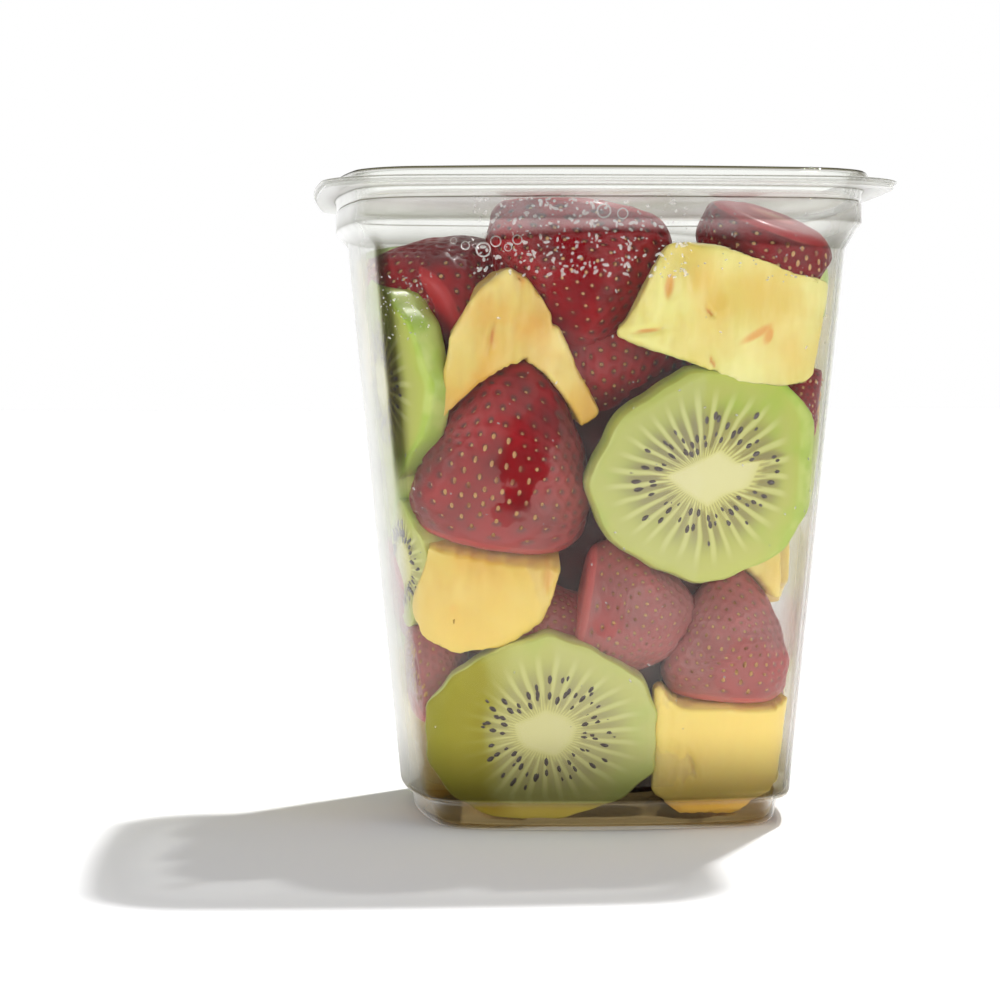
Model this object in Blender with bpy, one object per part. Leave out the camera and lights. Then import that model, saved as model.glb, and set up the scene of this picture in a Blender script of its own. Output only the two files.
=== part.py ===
"""A clear square cup with rounded corners and a shut press-on lid, packed with cut fruit.

The origin is at the centre of the flat underside. X runs right along the front face,
Y runs from the front face to the back one, and Z is up. Sizes are in metres.
"""

import math
import random

import bmesh
import bpy
from mathutils import Matrix, Vector

MM = 0.001

# Driving dimensions of the pack
HEIGHT = 132.6 * MM
LID_HALF = 59.0 * MM
MOUTH_HALF = 54.3 * MM
BODY_TOP_HALF = 51.9 * MM
BODY_BASE_HALF = 40.9 * MM
FOOT_HALF = 38.6 * MM
WALL = 0.8 * MM
FLOOR_Z = 0.9 * MM
RIDGE_Z = 6.6 * MM
SHOULDER_Z = 119.9 * MM
BAND_LOW_Z = 122.3 * MM
BAND_MID_Z = 126.6 * MM
RIM_Z = 128.9 * MM
CORNER_RADIUS = 14.5 * MM
FACE_BOW = 3.8 * MM
CORNER_DROP = 2.7 * MM

# Driving dimensions of the filling
HEAP_TOP_Z = 127.0 * MM
WALL_GAP = 0.5 * MM
FLOOR_GAP = 0.4 * MM
CORE_INSET = 7.5 * MM
CORE_TOP_Z = 105.0 * MM
SLICE_THICKNESS = 11.0 * MM
CHUNK_DEPTH = 16.0 * MM
SEED = 23

POINTS_A_SIDE = 9
POINTS_A_CORNER = 5
SIDE_TURNS = {"front": 0, "right": 1, "back": 2, "left": 3}


def remove_everything():
    for item in list(bpy.data.objects):
        bpy.data.objects.remove(item)


def material(name, colour, roughness, alpha=1.0):
    made = bpy.data.materials.new(name)
    made.use_nodes = True
    shader = made.node_tree.nodes["Principled BSDF"]
    shader.inputs["Base Color"].default_value = (*colour, 1.0)
    shader.inputs["Roughness"].default_value = roughness
    shader.inputs["Alpha"].default_value = alpha
    made.diffuse_color = (*colour, alpha)
    return made


def mesh_object(name, points, faces):
    mesh = bpy.data.meshes.new(name)
    mesh.from_pydata(points, [], faces)
    mesh.validate()
    item = bpy.data.objects.new(name, mesh)
    bpy.context.scene.collection.objects.link(item)
    return item


# Outline of the cup, seen from above
def outline(half, corner, bow):
    """A square of bowed sides joined by tangent corner arcs, anticlockwise from the front left."""
    side_radius = (half - corner) ** 2 / (2 * bow)
    drop = side_radius - half
    root = math.sqrt(2 * (side_radius - corner) ** 2 - drop**2)
    reach = (root - drop) / 2
    swing = math.atan2(reach, reach + drop)
    quarter = []
    for step in range(POINTS_A_SIDE):
        angle = swing * (2 * step / (POINTS_A_SIDE - 1) - 1)
        quarter.append((side_radius * math.sin(angle), drop - side_radius * math.cos(angle)))
    for step in range(1, POINTS_A_CORNER):
        angle = swing + (math.pi / 2 - 2 * swing) * step / POINTS_A_CORNER
        quarter.append((reach + corner * math.sin(angle), -reach - corner * math.cos(angle)))
    points = []
    for turn in range(4):
        cosine, sine = round(math.cos(turn * math.pi / 2)), round(math.sin(turn * math.pi / 2))
        points += [(cosine * x - sine * y, sine * x + cosine * y) for x, y in quarter]
    return points


def ring(half, height, corner=CORNER_RADIUS, bow=FACE_BOW, corner_drop=0.0):
    """One level of a wall. corner_drop lowers it towards the four corners."""
    points = []
    for x, y in outline(half, corner, bow):
        toward_corner = math.sin(2 * math.atan2(y, x)) ** 2
        points.append((x, y, height - corner_drop * toward_corner))
    return points


def loft(name, rings):
    """One closed body: a skin over the rings, in order, with the first and last capped."""
    count = len(rings[0])
    points = [point for level in rings for point in level]
    faces = [tuple(reversed(range(count)))]
    for level in range(len(rings) - 1):
        low, high = level * count, (level + 1) * count
        for step in range(count):
            after = (step + 1) % count
            faces.append((low + step, low + after, high + after, high + step))
    last = (len(rings) - 1) * count
    faces.append(tuple(range(last, last + count)))
    return mesh_object(name, points, faces)


def make_cup():
    base_corner = 11.5 * MM
    foot_corner = 11.0 * MM
    low_bow = 3.3 * MM
    top_bow = 4.5 * MM
    rim_corner = 19.4 * MM
    rim_bow = 1.4 * MM
    rim_half = LID_HALF - 0.7 * MM
    rim_top = RIM_Z + 0.6 * MM
    outside = [
        ring(FOOT_HALF - 2.2 * MM, 0.0, foot_corner - 1.0 * MM, low_bow),
        ring(FOOT_HALF - 1.0 * MM, 0.5 * MM, foot_corner - 0.4 * MM, low_bow),
        ring(FOOT_HALF - 0.5 * MM, 1.6 * MM, foot_corner, low_bow),
        ring(FOOT_HALF, RIDGE_Z - 1.7 * MM, foot_corner, low_bow),
        ring(BODY_BASE_HALF - 0.6 * MM, RIDGE_Z - 1.0 * MM, base_corner, low_bow),
        ring(BODY_BASE_HALF, RIDGE_Z, base_corner, low_bow),
        ring(BODY_TOP_HALF, SHOULDER_Z, CORNER_RADIUS, top_bow, CORNER_DROP),
        ring(MOUTH_HALF - 0.3 * MM, BAND_LOW_Z - 0.5 * MM),
        ring(MOUTH_HALF, BAND_LOW_Z),
        ring(MOUTH_HALF, BAND_MID_Z - 0.4 * MM),
        ring(MOUTH_HALF - 0.6 * MM, BAND_MID_Z),
        ring(MOUTH_HALF - 0.1 * MM, BAND_MID_Z + 0.4 * MM),
        ring(MOUTH_HALF, RIM_Z - 0.4 * MM),
        ring(MOUTH_HALF + 0.5 * MM, RIM_Z),
        ring(rim_half, RIM_Z, rim_corner, rim_bow),
    ]
    inside = [
        ring(rim_half, rim_top, rim_corner, rim_bow),
        ring(MOUTH_HALF - 0.2 * MM, rim_top),
        ring(MOUTH_HALF - WALL, rim_top - 0.6 * MM),
        ring(MOUTH_HALF - WALL - 0.1 * MM, BAND_MID_Z + 0.5 * MM),
        ring(MOUTH_HALF - WALL - 0.6 * MM, BAND_MID_Z),
        ring(MOUTH_HALF - WALL, BAND_MID_Z - 0.5 * MM),
        ring(MOUTH_HALF - WALL, BAND_LOW_Z + 0.3 * MM),
        ring(MOUTH_HALF - WALL - 0.3 * MM, BAND_LOW_Z - 0.2 * MM),
        ring(BODY_TOP_HALF - WALL, SHOULDER_Z, CORNER_RADIUS - WALL, top_bow, CORNER_DROP),
        ring(BODY_BASE_HALF - WALL, RIDGE_Z + 0.3 * MM, base_corner - WALL, low_bow),
        ring(BODY_BASE_HALF - 0.5 * MM - WALL, RIDGE_Z - 0.4 * MM, base_corner - WALL, low_bow),
        ring(FOOT_HALF - WALL, RIDGE_Z - 1.2 * MM, foot_corner - WALL, low_bow),
        ring(FOOT_HALF - 0.5 * MM - WALL, 1.8 * MM, foot_corner - WALL, low_bow),
        ring(FOOT_HALF - 2.2 * MM - WALL, FLOOR_Z, foot_corner - 1.0 * MM - WALL, low_bow),
    ]
    cup = loft("cup", outside + inside)
    cup.data.materials.append(material("clear cup plastic", (0.86, 0.87, 0.84), 0.06, 0.3))


def make_lid():
    flange_corner = 20.0 * MM
    flange_bow = 1.4 * MM
    seat = RIM_Z + 0.9 * MM
    flange_top = seat + 0.7 * MM
    panel_under = RIM_Z - 1.3 * MM
    panel_top = panel_under + 0.7 * MM
    underside = [
        ring(MOUTH_HALF - 4.0 * MM, panel_under),
        ring(MOUTH_HALF - 2.2 * MM, panel_under + 0.3 * MM),
        ring(MOUTH_HALF - 1.7 * MM, seat),
        ring(MOUTH_HALF - 1.2 * MM, HEIGHT - 1.1 * MM),
        ring(MOUTH_HALF - 0.4 * MM, HEIGHT - 0.7 * MM),
        ring(MOUTH_HALF + 0.3 * MM, HEIGHT - 1.1 * MM),
        ring(MOUTH_HALF + 0.9 * MM, seat),
        ring(LID_HALF - 0.4 * MM, seat, flange_corner, flange_bow),
    ]
    upper = [
        ring(LID_HALF, seat + 0.2 * MM, flange_corner, flange_bow),
        ring(LID_HALF, flange_top - 0.1 * MM, flange_corner, flange_bow),
        ring(LID_HALF - 0.4 * MM, flange_top, flange_corner, flange_bow),
        ring(MOUTH_HALF + 1.8 * MM, flange_top),
        ring(MOUTH_HALF + 1.1 * MM, HEIGHT - 1.0 * MM),
        ring(MOUTH_HALF + 0.6 * MM, HEIGHT - 0.3 * MM),
        ring(MOUTH_HALF - 0.4 * MM, HEIGHT),
        ring(MOUTH_HALF - 1.6 * MM, HEIGHT - 0.3 * MM),
        ring(MOUTH_HALF - 2.1 * MM, HEIGHT - 1.1 * MM),
        ring(MOUTH_HALF - 2.6 * MM, seat),
        ring(MOUTH_HALF - 3.0 * MM, panel_top + 0.4 * MM),
        ring(MOUTH_HALF - 4.2 * MM, panel_top),
    ]
    lid = loft("lid", underside + upper)
    lid.data.materials.append(material("clear lid plastic", (0.88, 0.89, 0.86), 0.05, 0.3))


# The room inside the cup, which every piece of fruit is pressed into. Its outline is that of
# a cup of half width 1, with the corner radius and the bow of the middle of the wall
UNIT_CORNER = 0.262
UNIT_BOW = 0.085
UNIT_OUTLINE = outline(1.0, UNIT_CORNER, UNIT_BOW)


def outline_reach(angle):
    """How far the outline of a cup of half width 1 lies from its axis, towards an angle."""
    ray = Vector((math.cos(angle), math.sin(angle)))
    best = 2.0
    for index, start in enumerate(UNIT_OUTLINE):
        a, b = Vector(start), Vector(UNIT_OUTLINE[(index + 1) % len(UNIT_OUTLINE)])
        edge = b - a
        across = ray.x * edge.y - ray.y * edge.x
        if abs(across) < 1e-9:
            continue
        along = (a.x * ray.y - a.y * ray.x) / across
        far = (a.x * edge.y - a.y * edge.x) / across
        if -1e-6 <= along <= 1 + 1e-6 and far > 0:
            best = min(best, far)
    return best


REACH_STEPS = 360
REACH = [outline_reach(2 * math.pi * step / REACH_STEPS) for step in range(REACH_STEPS)]


def room_levels():
    """Height and half width at each bend of the cup's inside."""
    foot = FOOT_HALF - WALL - 1.0 * MM
    base = BODY_BASE_HALF - WALL
    slope = (BODY_TOP_HALF - BODY_BASE_HALF) / (SHOULDER_Z - RIDGE_Z)
    shoulder = SHOULDER_Z - CORNER_DROP
    widest = base + slope * (shoulder - RIDGE_Z)
    return (
        (FLOOR_Z + FLOOR_GAP, foot - 1.4 * MM),
        (FLOOR_Z + 1.6 * MM, foot),
        (RIDGE_Z - 1.5 * MM, foot),
        (RIDGE_Z + 0.6 * MM, base),
        (shoulder, widest),
        (HEAP_TOP_Z, widest),
    )


def room_half(z):
    """Half the width of the room inside the cup at a height."""
    levels = room_levels()
    for (low_z, low), (high_z, high) in zip(levels, levels[1:]):
        if z <= high_z:
            return low + (high - low) * max(0.0, z - low_z) / (high_z - low_z)
    return levels[-1][1]


def room_solid():
    """The room left for the fruit: inside the walls and under the lid, less a small gap."""
    rings = []
    for z, half in room_levels():
        reach = half - WALL_GAP
        rings.append([(reach * x, reach * y, z) for x, y in UNIT_OUTLINE])
    return loft("room", rings)


def wall_frame(side, across, height, depth):
    """Axes at the wall of one side: X along it, Y into the cup, Z up the slope."""
    lean = math.atan((BODY_TOP_HALF - BODY_BASE_HALF) / (SHOULDER_Z - RIDGE_Z))
    bow = FACE_BOW * (across / (BODY_BASE_HALF - CORNER_RADIUS)) ** 2 * 0.6
    turn = Matrix.Rotation(SIDE_TURNS[side] * math.pi / 2, 4, "Z")
    place = Matrix.Translation((across, bow + depth - room_half(height), height))
    return turn @ place @ Matrix.Rotation(lean, 4, "X")


# The three kinds of fruit, each around its own centre with its face towards -Y
def slice_shape(wide, tall, thick=SLICE_THICKNESS / MM):
    """A peeled round slice, a disc with a rim that bulges."""
    sides = 14
    levels = ((-0.5, 0.93), (-0.3, 1.0), (0.3, 1.0), (0.5, 0.93))
    rings = []
    for offset, grow in levels:
        level = []
        for step in range(sides):
            angle = 2 * math.pi * step / sides
            wobble = 1.0 + 0.03 * math.sin(3 * angle + wide)
            level.append(
                Vector((
                    wide * MM / 2 * grow * wobble * math.cos(angle),
                    thick * MM * offset,
                    tall * MM / 2 * grow * wobble * math.sin(angle),
                ))
            )
        rings.append(level)
    return rings


def berry_shape(wide, tall, deep=0.8):
    """A strawberry with its tip up: a turned profile, wide near the cut stalk end."""
    sides = 11
    heights = (0.03, 0.14, 0.32, 0.55, 0.76, 0.92)
    rings = []
    for share in heights:
        if share < 0.32:
            radius = math.sqrt(1 - (1 - share / 0.32) ** 2)
        else:
            radius = (1 - ((share - 0.32) / 0.7) ** 1.9) ** 0.85
        level = []
        for step in range(sides):
            angle = 2 * math.pi * step / sides
            level.append(
                Vector((
                    wide * MM / 2 * radius * math.cos(angle),
                    -wide * MM / 2 * deep * radius * math.sin(angle),
                    tall * MM * (share - 0.5),
                ))
            )
        rings.append(level)
    return rings


def chunk_shape(corners, deep=CHUNK_DEPTH / MM):
    """A cut block: the polygon of its front, given in millimetres, carried back."""
    middle = Vector((0.0, 0.0))
    for corner in corners:
        middle += Vector(corner) / len(corners)
    rings = []
    for offset, grow in ((-0.5, 0.92), (-0.38, 1.0), (0.4, 0.97), (0.5, 0.85)):
        level = []
        for index, corner in enumerate(corners):
            here = Vector(corner)
            for other in (corners[index - 1], corners[(index + 1) % len(corners)]):
                near = here + (Vector(other) - here) * 0.1
                flat = middle + (near - middle) * grow
                level.append(Vector((flat.x * MM, deep * MM * offset, flat.y * MM)))
        rings.append(level)
    return rings


BLOCK = ((-15, -12), (14, -14), (17, 10), (-12, 14))
WEDGE = ((-19, -8), (17, -13), (20, 4), (2, 13), (-17, 8))
TRIANGLE = ((-16, -13), (16, -9), (9, 14), (-8, 16))
BROAD = (
    (-22.2, -3), (-3.2, -10.2), (4.8, -12.3), (13, -13.8), (19, -12.7), (23, 7), (8, 11.3),
    (-0.3, 14.2), (-8.4, 15.8), (-12, 15.2), (-19.6, 0),
)
LEANING = ((-15, -18), (12.9, -17.8), (18, -13.9), (7.6, 8), (3, 14), (-1, 16), (-7, 11), (-12.5, 2))
ROUNDED = (
    (-15.7, -6.5), (-12.7, -11.3), (-5.7, -13.3), (3.3, -12.5), (11.3, -7.5), (14.3, -1.8),
    (16.9, 8), (12, 6.5), (0, 7.5), (-9.3, 11.5),
)
LOWEST = ((-13.5, -9), (-6, -13.4), (7, -14), (13.5, -9), (16.5, 10), (8, 9), (-4, 9), (-12.5, 13))
SMALL = ((-8, -9), (6, -9), (5, 7), (-7, 8))

# Each row: kind, side, across, height, depth of its middle, turn, lean, spin, sizes.
# Lengths are in millimetres and angles in degrees.
FRONT = (
    ("chunk", 22.0, 103.5, 8.0, 0, 0, 0, (BROAD,)),
    ("slice", 17.8, 72.0, 5.7, 0, 0, 0, (47.0, 42.5)),
    ("slice", -13.3, 20.8, 5.7, 0, 0, 0, (47.5, 37.5)),
    ("slice", -46.0, 90.5, 14.0, 0, 0, -60, (38.0, 41.0)),
    ("berry", -20.0, 77.2, 11.8, 8, 9, 0, (36.5, 37.5)),
    ("berry", -7.0, 110.5, 16.5, 188, -12, 0, (37.0, 31.0)),
    ("chunk", -20.0, 99.0, 12.0, 0, 6, 0, (LEANING,)),
    ("chunk", -25.5, 50.5, 8.3, 0, 0, 0, (ROUNDED,)),
    ("berry", 7.0, 43.5, 12.0, 100, 0, 0, (28.0, 26.0)),
    ("berry", 25.0, 40.0, 11.0, 4, 0, 0, (26.0, 27.5)),
    ("chunk", 21.5, 17.5, 8.3, 0, 0, 0, (LOWEST,)),
    ("berry", -34.0, 109.0, 21.0, 60, 0, 0, (25.0, 31.0)),
    ("berry", 29.5, 112.5, 14.0, 200, 0, -30, (28.0, 24.0)),
    ("berry", -35.5, 34.0, 14.0, 20, 0, 0, (19.0, 24.0)),
    ("slice", -40.0, 54.5, 15.0, 0, 6, -50, (25.0, 27.0)),
    ("chunk", 29.5, 56.0, 13.0, 0, 0, 0, (SMALL,)),
    ("berry", 38.0, 86.5, 11.0, 40, 0, 0, (16.0, 17.0)),
    ("berry", 1.5, 95.0, 23.0, 90, 0, 0, (32.0, 34.0)),
    ("berry", 0.5, 80.0, 19.0, 10, 0, 0, (22.0, 26.0)),
    ("berry", -8.0, 39.0, 15.0, 80, 0, 0, (24.0, 24.0)),
    ("berry", 32.0, 64.0, 28.0, 150, 0, 50, (27.0, 29.0)),
    ("berry", 31.0, 25.0, 27.0, 20, 0, 40, (23.0, 27.0)),
)


# Middles of the layers at the other sides and of the uppermost pieces. The pieces at two
# sides stand closer together and further back, so that the front corners stay clear, and
# those at the right side stand a little further in
LEVELS = (19, 41, 62, 82, 100)
TOP_LEVEL = 109
SIDE_SPREAD = {"right": 0.68, "back": 1.0, "left": 0.76}
BACK_SHIFT = {"right": 16.5, "back": 0.0, "left": -12.0}
SIDE_INSET = {"right": 2.5, "back": 0.0, "left": 0.0}


def other_rows(draw):
    """Rows for the sides that do not face front, by one rule with a seeded draw."""
    rows = []
    for side in ("right", "back", "left"):
        deck = ["slice", "chunk", "berry", "chunk", "berry", "slice"] * 2
        draw.shuffle(deck)
        for level, height in enumerate(LEVELS):
            count = 2 + level % 2
            spacing = room_half(height * MM) / MM * (0.92 if count == 2 else 0.62)
            for place in range(count):
                kind = deck[(3 * level + place) % len(deck)]
                across = (place - (count - 1) / 2) * spacing + draw.uniform(-2, 2)
                turn = draw.uniform(0, 360)
                if kind == "slice":
                    sizes = (draw.uniform(38, 46), draw.uniform(38, 44))
                    depth, turn = draw.uniform(5.7, 7), 0
                elif kind == "berry":
                    sizes = (draw.uniform(26, 32), draw.uniform(30, 37))
                    depth = 0.36 * sizes[0]
                else:
                    sizes = (draw.choice((BLOCK, WEDGE, TRIANGLE)),)
                    depth = draw.uniform(7.5, 10)
                lean = draw.uniform(-10, 10)
                across = across * SIDE_SPREAD[side] + BACK_SHIFT[side]
                depth += SIDE_INSET[side]
                rows.append((kind, side, across, height + draw.uniform(-3, 3), depth, turn, lean, 0, sizes))
    return rows


def top_rows(draw):
    """Rows for the pieces that lie uppermost, under the lid."""
    rows = []
    kinds = ["berry", "chunk", "slice", "berry", "chunk", "berry", "slice", "chunk", "berry"]
    for index, kind in enumerate(kinds):
        x = (index % 3 - 1) * 27 + draw.uniform(-3, 3)
        y = (index // 3 - 1) * 25 + 6 + draw.uniform(-3, 3)
        turn = draw.uniform(0, 360)
        if kind == "slice":
            sizes = (40.0, 42.0)
        elif kind == "berry":
            sizes = (30.0, 34.0)
        else:
            sizes = (draw.choice((BLOCK, WEDGE)),)
        rows.append((kind, x, y, TOP_LEVEL + draw.uniform(-2, 2), turn, 80 + draw.uniform(-12, 12), sizes))
    return rows


SHAPES = {"slice": slice_shape, "berry": berry_shape, "chunk": chunk_shape}


def placed(rings, frame):
    return [[frame @ point for point in level] for level in rings]


def turned(turn, lean, spin):
    angles = [(spin, "Z"), (lean, "X"), (turn, "Y")]
    result = Matrix.Identity(4)
    for angle, axis in angles:
        result = result @ Matrix.Rotation(math.radians(angle), 4, axis)
    return result


def fruit_pieces():
    """Every piece as rings of points."""
    draw = random.Random(SEED)
    pieces = []
    rows = [(row[0], "front", *row[1:]) for row in FRONT]
    for row in rows + other_rows(draw):
        kind, side, across, height, depth, turn, lean, spin, sizes = row
        frame = wall_frame(side, across * MM, height * MM, depth * MM)
        pieces.append(placed(SHAPES[kind](*sizes), frame @ turned(turn, lean, spin)))
    for kind, x, y, height, turn, lean, sizes in top_rows(draw):
        frame = Matrix.Translation((x * MM, y * MM, height * MM))
        frame = frame @ Matrix.Rotation(math.radians(turn), 4, "Z")
        frame = frame @ Matrix.Rotation(math.radians(lean), 4, "X")
        pieces.append(placed(SHAPES[kind](*sizes), frame))
    return pieces


def make_core():
    """The packed middle that the outer pieces are fused to, with a gently uneven skin."""
    sides, levels = 24, 8
    wave_height = 0.8 * MM
    low_z = FLOOR_Z + 3.0 * MM
    rings = []
    for level in range(levels):
        z = low_z + (CORE_TOP_Z - low_z) * level / (levels - 1)
        row = []
        for step in range(sides):
            angle = 2 * math.pi * (step + 0.5) / sides
            spot = int(angle / (2 * math.pi) * REACH_STEPS) % REACH_STEPS
            wave = wave_height * math.sin(5 * angle + 2.1 * level)
            radius = (room_half(z) - CORE_INSET) * REACH[spot] + wave
            row.append(Vector((radius * math.cos(angle), radius * math.sin(angle), z)))
        rings.append(row)
    return loft("fruit_heap", rings)


def apply_boolean(item, operation, collection=None, other=None):
    change = item.modifiers.new(operation, "BOOLEAN")
    change.operation = operation
    change.solver = "MANIFOLD"
    if collection:
        change.operand_type = "COLLECTION"
        change.collection = collection
    else:
        change.object = other
    bpy.context.view_layer.update()
    graph = bpy.context.evaluated_depsgraph_get()
    result = bpy.data.meshes.new_from_object(item.evaluated_get(graph))
    item.modifiers.clear()
    item.data = result


def make_heap():
    heap = make_core()
    outward(heap)
    members = bpy.data.collections.new("fruit pieces")
    for number, rings in enumerate(fruit_pieces()):
        piece = loft(f"piece_{number}", rings)
        bpy.context.scene.collection.objects.unlink(piece)
        members.objects.link(piece)
        outward(piece)
    apply_boolean(heap, "UNION", collection=members)
    for piece in list(members.objects):
        bpy.data.objects.remove(piece)
    bpy.data.collections.remove(members)
    room = room_solid()
    outward(room)
    apply_boolean(heap, "INTERSECT", other=room)
    bpy.data.objects.remove(room)
    keep_outer_skin(heap)
    heap.data.materials.clear()
    heap.data.materials.append(material("cut fruit", (0.72, 0.42, 0.22), 0.35))


def outward(item):
    """Turns a closed mesh's faces outwards."""
    shape = bmesh.new()
    shape.from_mesh(item.data)
    bmesh.ops.recalc_face_normals(shape, faces=shape.faces)
    shape.to_mesh(item.data)
    shape.free()


def keep_outer_skin(item):
    """Fills sealed hollows and drops loose scraps: only the shell of most faces stays."""
    shape = bmesh.new()
    shape.from_mesh(item.data)
    shells = []
    left = set(shape.faces)
    while left:
        shell, front = set(), [left.pop()]
        while front:
            face = front.pop()
            shell.add(face)
            for edge in face.edges:
                for near in edge.link_faces:
                    if near in left:
                        left.remove(near)
                        front.append(near)
        shells.append(shell)
    largest = max(shells, key=len)
    doomed = [face for shell in shells if shell is not largest for face in shell]
    bmesh.ops.delete(shape, geom=doomed, context="FACES")
    bmesh.ops.triangulate(shape, faces=shape.faces)
    shape.to_mesh(item.data)
    print("heap triangles", len(shape.faces), "shells dropped", len(shells) - 1)
    shape.free()


def main():
    remove_everything()
    make_cup()
    make_lid()
    make_heap()


main()
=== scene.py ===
# %% [markdown]
# # A clear cup of cut fruit
#
# The cup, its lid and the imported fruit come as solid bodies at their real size. This
# lesson dresses them: it replaces the faceted walls with smooth thin plastic, and the one
# solid heap with real kiwi slices, strawberries and pineapple, each modelled once and
# copied into its place.

# %% Load the solids
import math
import random

import bmesh
import bpy
import numpy as np
from mathutils import Matrix, Vector, noise


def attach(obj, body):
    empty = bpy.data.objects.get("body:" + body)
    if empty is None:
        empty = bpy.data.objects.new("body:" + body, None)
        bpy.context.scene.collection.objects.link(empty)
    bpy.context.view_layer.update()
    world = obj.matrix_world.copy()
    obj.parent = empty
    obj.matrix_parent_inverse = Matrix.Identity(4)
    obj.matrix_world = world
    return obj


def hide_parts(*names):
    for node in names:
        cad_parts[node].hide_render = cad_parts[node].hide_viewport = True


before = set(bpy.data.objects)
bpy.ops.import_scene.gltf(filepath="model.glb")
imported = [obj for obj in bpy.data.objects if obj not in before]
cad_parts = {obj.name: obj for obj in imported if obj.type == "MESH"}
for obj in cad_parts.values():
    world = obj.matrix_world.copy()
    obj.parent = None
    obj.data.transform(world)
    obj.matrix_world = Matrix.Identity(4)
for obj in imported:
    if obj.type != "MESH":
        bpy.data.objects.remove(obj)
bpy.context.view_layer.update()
MM = 0.001

# %% [markdown]
# ## Camera
#
# The rim, the bands and the foot of the cup give the view: the lens is level with the
# upper part of the fruit, a little left of square on, and about 63 cm away. A long lens
# keeps the sides of the cup nearly parallel. It could be aimed with a Track To
# constraint, but three angles say the same with nothing left live.

# %% Camera
CAMERA_PLACE = (-60.6 * MM, -628.2 * MM, 89.0 * MM)
CAMERA_TURN = (87.86, 0.09, -3.733)
SENSOR = 36.0
FOCAL_SHARE = 2.95673

camera = bpy.data.objects.new("camera", bpy.data.cameras.new("camera"))
bpy.context.scene.collection.objects.link(camera)
camera.location = CAMERA_PLACE
camera.rotation_euler = [math.radians(angle) for angle in CAMERA_TURN]
camera.data.sensor_width = SENSOR
camera.data.lens = SENSOR * FOCAL_SHARE
camera.data.clip_end = 30.0
bpy.context.scene.camera = camera
print("lens", round(camera.data.lens, 1), "mm")

# %% [markdown]
# ## Shader arithmetic
#
# A material is a graph of nodes, and its sums are easier to read as sums. `Wire` wraps one
# socket and turns + - * / into Math nodes. `Graph` is one node tree: its `node` method
# makes any node from its type, its settings and the values of its sockets. `Finish` is the
# graph of one material, and the world's light is a graph too.


# %% Wire and Finish
class Wire:
    """One output socket, on which ordinary arithmetic adds Math nodes."""

    def __init__(self, graph, socket):
        self.graph = graph
        self.socket = socket

    def maths(self, operation, *values):
        return self.graph.maths(operation, *values)

    def __add__(self, other):
        return self.maths("ADD", self, other)

    def __radd__(self, other):
        return self.maths("ADD", other, self)

    def __sub__(self, other):
        return self.maths("SUBTRACT", self, other)

    def __rsub__(self, other):
        return self.maths("SUBTRACT", other, self)

    def __mul__(self, other):
        return self.maths("MULTIPLY", self, other)

    def __truediv__(self, other):
        return self.maths("DIVIDE", self, other)

    def __pow__(self, other):
        return self.maths("POWER", self, other)

    def step(self, low, high):
        """0 below low, 1 above high, and smooth between them."""
        settings = {"interpolation_type": "SMOOTHSTEP"}
        values = {0: self, 1: low, 2: high, 3: 0.0, 4: 1.0}
        return self.graph.node("ShaderNodeMapRange", settings, values)


class Graph:
    """One node tree, with the few moves that all the graphs here are made of."""

    def __init__(self, tree):
        self.tree = tree

    def node(self, kind, settings=None, values=None, output=0):
        made = self.tree.nodes.new(kind)
        for key, value in (settings or {}).items():
            if key == "stops":
                ramp = made.color_ramp.elements
                while len(ramp) < len(value):
                    ramp.new(0.5)
                for stop, (place, colour) in zip(ramp, value):
                    stop.position = place
                    stop.color = (*colour, 1.0)
            else:
                setattr(made, key, value)
        for key, value in (values or {}).items():
            self.put(made.inputs[key], value)
        return Wire(self, made.outputs[output])

    def maths(self, operation, *values):
        return self.node("ShaderNodeMath", {"operation": operation}, dict(enumerate(values)))

    def put(self, socket, value):
        if isinstance(value, Wire):
            self.tree.links.new(value.socket, socket)
        elif isinstance(value, tuple) and len(value) == 3 and socket.type == "RGBA":
            socket.default_value = (*value, 1.0)
        else:
            socket.default_value = value

    def blend(self, factor, low, high):
        values = {0: factor, 6: low, 7: high}
        return self.node("ShaderNodeMix", {"data_type": "RGBA"}, values, output=2)

    def ray(self, kind):
        return self.node("ShaderNodeLightPath", output=f"Is {kind} Ray")


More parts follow.
